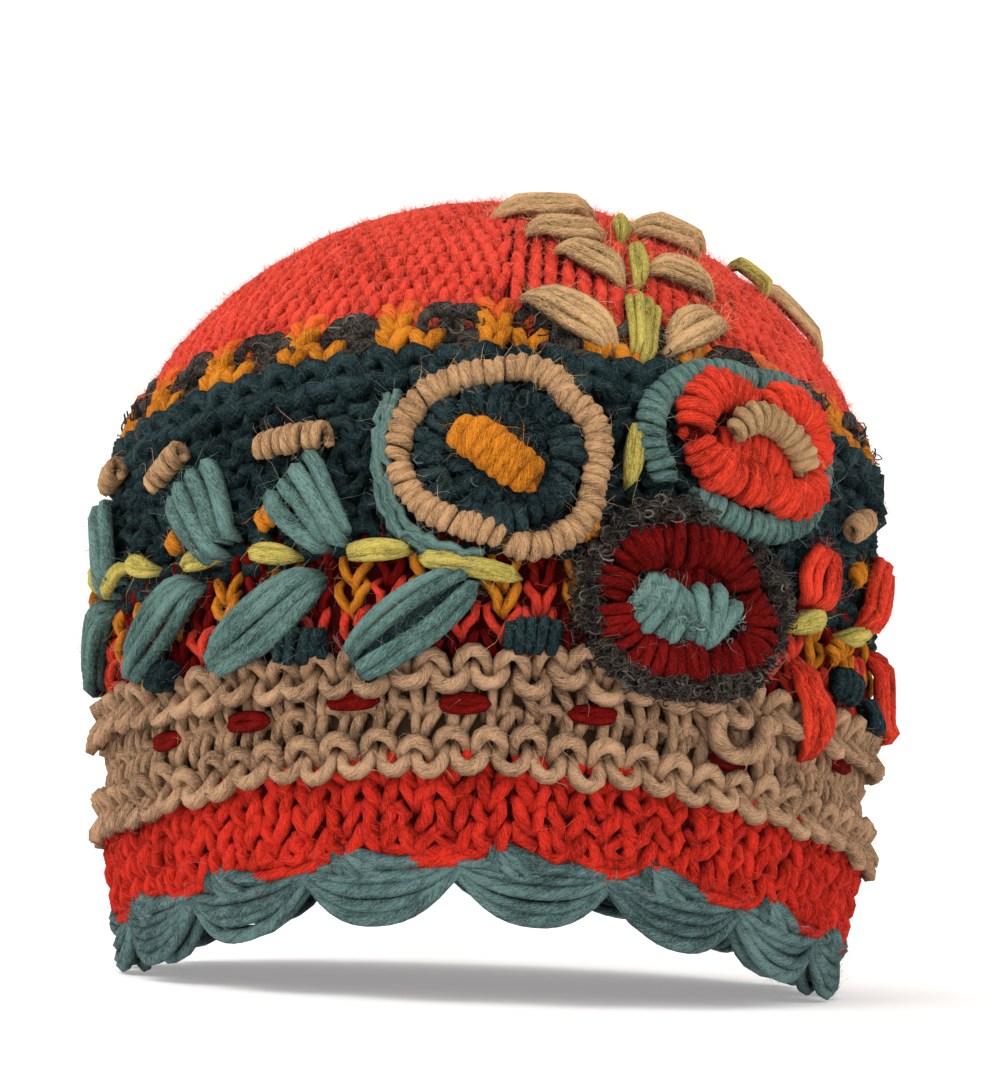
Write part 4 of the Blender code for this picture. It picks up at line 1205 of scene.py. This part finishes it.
def make_scallops():
    _, high = SPANS["scallop"]
    teal = Strands(71)
    random = teal.random
    yarn = 0.0030
    for number in range(SCALLOPS):
        notch = SCALLOP_JOINT - SCALLOP_NOTCH + math.tau * number / SCALLOPS
        for out_of, bulging, strands, points in ((-0.0010, 1, 5, 15), (-0.0038, -0.2, 3, 9)):
            p = np.linspace(-0.02, 1.02, points)
            hump = np.sin(math.pi * np.clip(p, 0, 1))
            for s in np.arange(strands) / (strands - 1):
                angle = notch + p * math.tau / SCALLOPS + random.normal(0, 0.0015)
                drop = np.clip(1 - np.abs(2 * p - 1) ** 2.4, 0, 1)
                level = 0.0092 + 0.0016 * s - (1 - s) * 0.0080 * drop + random.normal(0, 0.0002)
                out = out_of + bulging * ((0.0018 - 0.0009 * s) * hump + random.normal(0, 0.0003))
                length = length_at(angle, level) - RIM_SETTLE * np.clip(1 - level / high, 0, 1)
                thick = yarn / 2 * (0.7 + 0.3 * hump) * random.uniform(0.9, 1.15)
                teal.add(above_floor(on_hat(angle, length, out), yarn), thick, tone=0.45 + 0.2 * (1 - s))
        p = np.linspace(0, 1, 11)
        for fan in np.arange(4) / 3:
            x = (fan - 0.35) * 0.0046 * np.clip(p * 3, 0.35, 1) + (0.003 + 0.018 * fan) * p**1.8
            level = 0.0148 - p * (0.0075 + 0.0035 * math.sin(math.pi * fan)) + 0.0012 * fan * p**2
            out = -0.0030 + 0.0036 * np.sin(math.pi * np.clip(p * 1.15, 0, 1)) ** 0.6 - 0.0006 * p
            angle = notch + math.radians(5.4) + x / HALF_WIDTH
            path = above_floor(on_hat(angle, length_at(angle, level), out), yarn)
            teal.add(path, yarn / 2 * (1.0 - 0.25 * np.abs(2 * p - 1) ** 2), tone=0.6)
    teal.fuzz(1000, 2600)
    teal.piece("scallop_strands", "scallop_teal_yarn")
    ground("scallop", scallop_level)


def make_large_flower():
    origin = place(*LARGE_FLOWER)
    ring = Strands(81)
    for points in LARGE_PETALS:
        bullion(ring, origin, points, 0.0031, 0.0060, 0.0021, 0.0028, wild=0.14, fine=12, sides=6)
    ring.fuzz(400, 1000)
    ring.piece("large_flower_petals", "beige_yarn", "large_flower_ring")
    disc = Strands(82)
    turn = np.linspace(0, math.tau, 17)[:-1]
    wavy = 0.94 * (1 + 0.06 * np.sin(3 * turn))
    for radius, half, height, pitch in ((12.6, 0.0038, 0.0052, 0.0026), (6.6, 0.0040, 0.0050, 0.0028)):
        curve = np.stack([np.cos(turn) * radius * 1.06, np.sin(turn) * radius * wavy], axis=-1)
        bullion(disc, origin, curve, half, height, pitch, 0.0031, closed=True, wild=0.35)
        curls(disc, origin, curve, 0.0032, height + 0.0004, 230, 1.8, closed=True, yarn=0.00040)
    disc.fuzz(360, 500)
    disc.piece("large_flower_disc_wraps", "disc_teal_yarn", "large_flower_disc")
    centre = Strands(83)
    bullion(
        centre, origin, LARGE_CENTRE, 0.0047, 0.0080, 0.0025, 0.0040,
        lift=0.0026, taper=0.45, sides=8, fine=16,
    )
    centre.fuzz(70, 300)
    centre.piece("large_flower_centre_roll", "amber_yarn", "large_flower_centre")
    edge = Strands(84)
    count = 26
    curve = smooth(np.array(LARGE_STRAND) * MM, count)
    for shift, out in ((-0.0012, 0.0012), (0.0, 0.0022), (0.0014, 0.0028)):
        wave = edge.random.normal(0, 0.0004, (2, count))
        x, y = curve[:, 0] + shift + wave[0], curve[:, 1] + shift * 0.5 + wave[1]
        edge.add(stitched(origin, x, y, out + 0.0006 * np.sin(np.linspace(0, 9, count)))[None], 0.0011)
    edge.fuzz(42, 345)
    edge.piece("large_flower_strand", "teal_yarn")


def make_red_flower():
    edge = Strands(91)
    bullion(edge, place(*RED_FLOWER), RED_EDGE, 0.0034, 0.0056, 0.0022, 0.0028, wild=0.12, fine=11)
    edge.fuzz(280, 800)
    edge.piece("red_flower_edge_wraps", "teal_yarn", "red_flower_edge")
    petals = Strands(92)
    origin = place(*RED_PETAL_PLACE)
    for points in RED_PETALS:
        bullion(
            petals, origin, points, 0.0048, 0.0086, 0.0022, 0.0031,
            wild=0.12, taper=0.5, fine=12, sides=6,
        )
    bullion(petals, origin, RED_PAD, 0.0058, 0.0062, 0.0022, 0.0028)
    petals.fuzz(320, 1100)
    petals.piece("red_flower_petals", "petal_red_yarn", "red_flower_ring")
    centre = Strands(93)
    bullion(
        centre, origin, RED_CENTRE, 0.0033, 0.0062, 0.0021, 0.0027,
        lift=0.0044, taper=0.4, fine=12, sides=6,
    )
    centre.fuzz(28, 229)
    centre.piece("red_flower_centre_roll", "dark_tan_yarn", "red_flower_centre")


def make_dark_flower():
    origin = place(*DARK_FLOWER)
    edge = Strands(101)
    bullion(edge, origin, DARK_EDGE, 0.0032, 0.0058, 0.0028, 0.0031, wild=0.5, tone=0.3)
    curls(edge, origin, DARK_EDGE, 0.0037, 0.0068, 1150, 1.5)
    edge.fuzz(420, 400)
    edge.piece("dark_flower_edge_wraps", "charcoal_yarn", "dark_flower_edge")
    petals = Strands(102)
    for points in DARK_PETALS:
        bullion(petals, origin, points, 0.0049, 0.0074, 0.0021, 0.0029, wild=0.2, fine=11)
    bullion(petals, origin, DARK_PAD, 0.0062, 0.0042, 0.0032, 0.0036)
    petals.fuzz(260, 800)
    petals.piece("dark_flower_petals", "petal_maroon_yarn", "dark_flower_ring")
    centre = Strands(103)
    for curve, half, height, yarn in (
        (DARK_CENTRE, 0.0072, 0.0092, 0.0033), (DARK_LOBE, 0.0074, 0.0096, 0.0034),
    ):
        bullion(centre, origin, curve, half, height, 0.0022, yarn, wild=0.05, taper=0.62, sides=6, fine=12)
    for curve in (DARK_CENTRE, DARK_LOBE):
        curls(centre, origin, curve, 0.0056, 0.0088, 190, 1.1, yarn=0.00028, tone=0.8)
    centre.fuzz(300, 900)
    centre.piece("dark_flower_centre_roll", "pale_teal_yarn", "dark_flower_centre")


def lay_pieces(strands, rows, half, height, offsets, yarn, **more):
    """A leaf or fan for each row of a table of places."""
    for row in rows:
        bend = row[6] if len(row) > 6 else 0.0
        base, tip = place(*row[:3]), place(*row[3:6])
        lay_strands(strands, base, tip, half, height, offsets, yarn, bend=bend, **more)


def make_leaves():
    crown, side = Strands(111), Strands(112)
    for strands, rows, wisps, down in ((crown, CROWN_LEAVES, 460, 2200), (side, SIDE_LEAVES, 90, 400)):
        lay_pieces(
            strands, rows, 0.0050, 0.0046, (-1.0, -0.34, 0.34, 1.0), 0.0028,
            belly=0.9, point=0.1, dome=1.5, taper=0.4,
        )
        strands.fuzz(wisps, down)
    names = [f"crown_leaf_{number}_{hand}" for number in range(1, 5) for hand in ("left", "right")]
    crown.piece("crown_leaf_strands", "leaf_tan_yarn", *names)
    side.piece("side_leaf_strands", "leaf_tan_yarn", *numbered("side_leaf", 3))
    lime = Strands(113)
    for index, row in enumerate(STEMS):
        base, tip = place(*row[:3]), place(*row[3:6])
        lay_strands(lime, base, tip, row[6], 0.0044, (-1.0, -0.3, 0.4, 1.0), 0.0024, fan=index == 0)
    for stitch in LIME_STITCHES:
        single_stitch(lime, *stitch, half=0.0028, yarn=0.0026, height=0.0048)
    single_stitch(lime, *LIME_UPRIGHT, half=0.0024, yarn=0.0024, height=0.0042)
    lime.fuzz(140, 700)
    lime.piece("lime_stitches", "lime_yarn", *numbered("stem", 3), "side_stem")
    teal = Strands(114)
    plump = {"belly": 0.34, "point": 0.1, "dome": 3.2, "taper": 0.12}
    lay_pieces(teal, TEAL_LEAVES[:3], 0.0060, 0.0064, (-1.0, -0.36, 0.34, 1.0), 0.0034, **plump)
    lay_pieces(teal, TEAL_LEAVES[:1], 0.0052, 0.0036, (-1.0, 0.0, 1.0), 0.0034, belly=0.5)
    lay_pieces(teal, TEAL_LEAVES[3:], 0.0070, 0.0068, (-1.0, -0.46, 0.50, 1.0), 0.0034, **plump)
    lay_pieces(
        teal, TEAL_FANS, 0.0080, 0.0066, (-1.0, -0.36, 0.34, 1.0), 0.0039, fan=True, dome=4.5, taper=0.08
    )
    teal.fuzz(700, 2400)
    teal.piece("teal_leaf_strands", "teal_yarn", *numbered("teal_leaf", 4), *numbered("teal_fan", 3))
    slit = Strands(116)
    lay_pieces(slit, TEAL_LEAVES[3:], 0.0034, 0.0044, (-0.7, 0.0, 0.7), 0.0032, belly=0.8)
    slit.fuzz(30, 120)
    slit.piece("leaf_filling", "dark_teal_yarn")
    red = Strands(115)
    offsets = (-1.0, -0.5, 0.0, 0.5, 1.0)
    lay_pieces(red, RED_LEAVES, 0.0056, 0.0056, offsets, 0.0028, belly=0.6, point=0.3)
    lay_pieces(red, RED_FANS, 0.0072, 0.0056, offsets, 0.0030, belly=0.6, point=0.4)
    red.fuzz(170, 800)
    red.piece("red_leaf_strands", "petal_red_yarn", *numbered("red_leaf", 2), *numbered("red_fan", 2))


def short_rolls(strands, rows, half, height, pitch, yarn, wild=0.1):
    """A short, slightly bowed roll for each row of a table."""
    for degrees, band, share, long, turn in rows:
        heading = math.radians(turn)
        away = np.array([math.cos(heading), math.sin(heading)]) * (long / 2 - 1.0)
        points = np.array([-away, -away * 0.3 + (0, 0.3), away * 0.3 + (0, 0.3), away])
        origin = place(degrees, band, share)
        bullion(strands, origin, points, half, height, pitch, yarn, wild=wild, taper=0.7)


def make_knots():
    knots = Strands(121)
    short_rolls(knots, KNOTS, 0.0033, 0.0056, 0.0021, 0.0027)
    knots.fuzz(60, 200)
    knots.piece("knot_rolls", "beige_yarn", *numbered("knot", 4))
    blocks = Strands(122)
    short_rolls(blocks, BLOCKS, 0.0041, 0.0050, 0.0022, 0.0027, wild=0.3)
    blocks.fuzz(70, 575)
    blocks.piece("block_rolls", "dark_teal_yarn", *numbered("block", 5))
    amber = Strands(123)
    for degrees, length in AMBER_KNOTS:
        origin = (math.radians(degrees), length * MM)
        bullion(amber, origin, AMBER_TWIST, 0.0030, 0.0046, 0.0021, 0.0026)
    amber.fuzz(25, 206)
    amber.piece("amber_knots", "amber_yarn")


def backdrop():
    """A pale round floor that curves up into a wall."""
    finish = Finish("studio_paper")
    paper = finish.surface({
        "Base Color": (0.90, 0.895, 0.885, 1.0),
        "Roughness": 0.9,
        "Emission Color": WHITE,
        "Emission Strength": 0.29,
        "Specular IOR Level": 0.1,
    })
    bend = np.linspace(0, math.pi / 2, 10)
    line = [(0.5, 0.0), (1.2, 0.0)]
    for turn in bend:
        line.append((FLOOR_RADIUS - FLOOR_BEND * (1 - math.sin(turn)), FLOOR_BEND * (1 - math.cos(turn))))
    line.append((FLOOR_RADIUS, WALL_HEIGHT))
    turns = [math.tau * step / FLOOR_STEPS for step in range(FLOOR_STEPS)]
    points = [(0.0, 0.0, 0.0)]
    for radius, height in line:
        points += [(radius * math.sin(turn), radius * math.cos(turn), height) for turn in turns]
    faces = [(0, 1 + (step + 1) % FLOOR_STEPS, 1 + step) for step in range(FLOOR_STEPS)]
    for low in range(1, 1 + FLOOR_STEPS * (len(line) - 1), FLOOR_STEPS):
        high = low + FLOOR_STEPS
        for step in range(FLOOR_STEPS):
            after = (step + 1) % FLOOR_STEPS
            faces.append((low + step, low + after, high + after, high + step))
    mesh = bpy.data.meshes.new("studio_floor")
    mesh.from_pydata(points, [], faces)
    mesh.materials.append(paper)
    mesh.shade_smooth()
    floor = bpy.data.objects.new("studio_floor", mesh)
    bpy.context.scene.collection.objects.link(floor)


def area_light(name, location, target, size, power, colour):
    """A round soft lamp that faces its target."""
    data = bpy.data.lights.new(name, "AREA")
    data.shape, data.size, data.energy, data.color = "DISK", size, power, colour
    lamp = bpy.data.objects.new(name, data)
    lamp.location = location
    lamp.rotation_mode = "QUATERNION"
    lamp.rotation_quaternion = (Vector(target) - Vector(location)).to_track_quat("-Z", "Y")
    bpy.context.scene.collection.objects.link(lamp)


def camera():
    """The photograph's view: low, close to level, and turned a little about its own axis."""
    position, target = Vector(CAMERA_PLACE) + Vector(AXIS), Vector(CAMERA_TARGET) + Vector(AXIS)
    forward = (target - position).normalized()
    right = forward.cross(Vector((0, 0, 1))).normalized()
    up = right.cross(forward)
    cosine, sine = math.cos(CAMERA_ROLL), math.sin(CAMERA_ROLL)
    right, up = right * cosine + up * sine, up * cosine - right * sine
    data = bpy.data.cameras.new("photo_camera")
    data.sensor_width = 36.0
    data.lens = FOCAL_PIXELS * data.sensor_width / max(IMAGE_WIDTH, IMAGE_HEIGHT)
    data.clip_start, data.clip_end = 0.05, 20.0
    view = bpy.data.objects.new("photo_camera", data)
    axes = Matrix((right, up, -forward)).transposed().to_4x4()
    view.matrix_world = Matrix.Translation(position) @ axes
    bpy.context.scene.collection.objects.link(view)
    bpy.context.scene.camera = view


def make_stage():
    backdrop()
    bpy.context.scene.view_settings.view_transform = "Standard"
    world = bpy.data.worlds.new("studio_air")
    world.use_nodes = True
    sky = world.node_tree.nodes["Background"]
    sky.inputs["Color"].default_value = WHITE
    sky.inputs["Strength"].default_value = 0.28
    bpy.context.scene.world = world
    for lamp in LAMPS:
        area_light(*lamp)
    camera()


def length_property(name, description, default, low, high):
    return bpy.props.FloatProperty(
        name=name, description=description, default=default, min=low, max=high, unit="LENGTH"
    )


class HatSizes(bpy.types.PropertyGroup):
    """Sizes of the yarn and its hairs."""

    yarn: length_property("Yarn", "Thickness of the knitting yarn", 0.0037, 0.002, 0.006)
    row_height: length_property("Row height", "Height of one row of knitting", 0.0049, 0.003, 0.008)
    hair_length: length_property("Hair length", "Usual length of a stray fibre", 0.0058, 0.001, 0.015)
    crown_hairs: bpy.props.IntProperty(
        name="Crown hairs", description="Number of stray fibres on the crown", default=1700, min=0, max=1800
    )


def colour_property(name, description, default):
    return bpy.props.FloatVectorProperty(
        name=name, description=description, default=default, subtype="COLOR", size=3, min=0.0, max=1.0
    )


class HatColours(bpy.types.PropertyGroup):
    """Colours of the wools."""

    red: colour_property("Crown red", "Wool of the crown", (0.78, 0.046, 0.022))
    deep_red: colour_property("Band red", "Wool of the lower red band", (0.6, 0.02, 0.008))
    petal_red: colour_property("Petal red", "Wool of the red petals and leaves", (0.64, 0.036, 0.014))
    brown: colour_property("Brown", "Wool of the garter band", (0.46, 0.268, 0.15))
    beige: colour_property("Beige", "Wool of the large flower's ring", (0.48, 0.272, 0.13))
    tan: colour_property("Tan", "Wool of the crown's leaves", (0.5, 0.3, 0.138))
    teal: colour_property("Teal", "Wool of the side leaves", (0.080, 0.154, 0.138))
    scallop_teal: colour_property("Scallop teal", "Wool of the scalloped edge", (0.069, 0.130, 0.128))
    disc_teal: colour_property("Disc teal", "Wool of the large flower's disc", (0.0052, 0.0158, 0.0185))
    dark_teal: colour_property("Dark teal", "Wool of the dark band", (0.0052, 0.0158, 0.0185))
    amber: colour_property("Amber", "Wool of the amber stitches", (0.54, 0.168, 0.008))
    orange: colour_property("Orange", "Wool between the amber and the red", (0.672, 0.1009, 0.0157))
    charcoal: colour_property("Charcoal", "Wool of the shaggy dark stitches", (0.011, 0.008, 0.0065))
    maroon: colour_property("Maroon", "Wool of the dark red stitches", (0.13, 0.0025, 0.0018))
    petal_maroon: colour_property("Petal maroon", "Wool of the dark flower's petals", (0.108, 0.0022, 0.0016))
    lime: colour_property("Lime", "Wool of the stems", (0.44, 0.355, 0.078))


class HAT_OT_crown(bpy.types.Operator):
    """Knits the red crown, with its ground and its fuzz"""

    bl_idname = "hat.crown"
    bl_label = "Crown"

    def execute(self, context):
        make_crown()
        return {"FINISHED"}


class HAT_OT_fairisle(bpy.types.Operator):
    """Knits the row of amber and charcoal below the crown"""

    bl_idname = "hat.fairisle"
    bl_label = "Fair-isle row"

    def execute(self, context):
        make_fairisle()
        return {"FINISHED"}


class HAT_OT_dark_band(bpy.types.Operator):
    """Knits the dark teal band of loops and its wavy top ridge"""

    bl_idname = "hat.dark_band"
    bl_label = "Dark band"

    def execute(self, context):
        make_dark_band()
        return {"FINISHED"}


class HAT_OT_colourwork(bpy.types.Operator):
    """Knits the band of maroon, amber and red stitches"""

    bl_idname = "hat.colourwork"
    bl_label = "Colourwork band"

    def execute(self, context):
        make_colourwork()
        return {"FINISHED"}


class HAT_OT_garter(bpy.types.Operator):
    """Knits the brown band with its two ridges and its running stitches"""

    bl_idname = "hat.garter"
    bl_label = "Garter band"

    def execute(self, context):
        make_garter()
        return {"FINISHED"}


class HAT_OT_red_band(bpy.types.Operator):
    """Knits the lower red band and its cast-on edge"""

    bl_idname = "hat.red_band"
    bl_label = "Red band"

    def execute(self, context):
        make_red_band()
        return {"FINISHED"}


class HAT_OT_scallops(bpy.types.Operator):
    """Crochets the scalloped edge of the rim"""

    bl_idname = "hat.scallops"
    bl_label = "Scalloped edge"

    def execute(self, context):
        make_scallops()
        return {"FINISHED"}


class HAT_OT_large_flower(bpy.types.Operator):
    """Winds the large round flower"""

    bl_idname = "hat.large_flower"
    bl_label = "Large flower"

    def execute(self, context):
        make_large_flower()
        return {"FINISHED"}


class HAT_OT_red_flower(bpy.types.Operator):
    """Winds the red flower and its teal edge"""

    bl_idname = "hat.red_flower"
    bl_label = "Red flower"

    def execute(self, context):
        make_red_flower()
        return {"FINISHED"}


class HAT_OT_dark_flower(bpy.types.Operator):
    """Winds the dark flower and its teal middle"""

    bl_idname = "hat.dark_flower"
    bl_label = "Dark flower"

    def execute(self, context):
        make_dark_flower()
        return {"FINISHED"}


class HAT_OT_leaves(bpy.types.Operator):
    """Lays the strands of the leaves, fans and stems"""

    bl_idname = "hat.leaves"
    bl_label = "Leaves and stems"

    def execute(self, context):
        make_leaves()
        return {"FINISHED"}


class HAT_OT_knots(bpy.types.Operator):
    """Winds the knots and the dark blocks"""

    bl_idname = "hat.knots"
    bl_label = "Knots and blocks"

    def execute(self, context):
        make_knots()
        return {"FINISHED"}


class HAT_OT_stage(bpy.types.Operator):
    """Sets the pale floor, the soft lights and the camera"""

    bl_idname = "hat.stage"
    bl_label = "Stage"

    def execute(self, context):
        make_stage()
        return {"FINISHED"}


OPERATORS = (
    HAT_OT_crown,
    HAT_OT_fairisle,
    HAT_OT_dark_band,
    HAT_OT_colourwork,
    HAT_OT_garter,
    HAT_OT_red_band,
    HAT_OT_scallops,
    HAT_OT_large_flower,
    HAT_OT_red_flower,
    HAT_OT_dark_flower,
    HAT_OT_leaves,
    HAT_OT_knots,
    HAT_OT_stage,
)


class HAT_PT_panel(bpy.types.Panel):
    """Lists the steps, the sizes and the colours"""

    bl_label = "Knitted hat"
    bl_idname = "HAT_PT_panel"
    bl_space_type = "VIEW_3D"
    bl_region_type = "UI"
    bl_category = "Hat"

    def draw(self, context):
        for group in (context.scene.hat_sizes, context.scene.hat_colours):
            box = self.layout.box()
            for name in group.__annotations__:
                box.prop(group, name)
        for operator in OPERATORS:
            self.layout.operator(operator.bl_idname)


CLASSES = (HatSizes, HatColours, *OPERATORS, HAT_PT_panel)


def register():
    for kind in CLASSES:
        bpy.utils.register_class(kind)
    bpy.types.Scene.hat_sizes = bpy.props.PointerProperty(type=HatSizes)
    bpy.types.Scene.hat_colours = bpy.props.PointerProperty(type=HatColours)


def unregister():
    del bpy.types.Scene.hat_colours
    del bpy.types.Scene.hat_sizes
    for kind in reversed(CLASSES):
        bpy.utils.unregister_class(kind)


def main():
    register()
    bpy.ops.hat.crown()
    bpy.ops.hat.fairisle()
    bpy.ops.hat.dark_band()
    bpy.ops.hat.colourwork()
    bpy.ops.hat.garter()
    bpy.ops.hat.red_band()
    bpy.ops.hat.scallops()
    bpy.ops.hat.large_flower()
    bpy.ops.hat.red_flower()
    bpy.ops.hat.dark_flower()
    bpy.ops.hat.leaves()
    bpy.ops.hat.knots()
    bpy.ops.hat.stage()


if __name__ == "__main__":
    main()
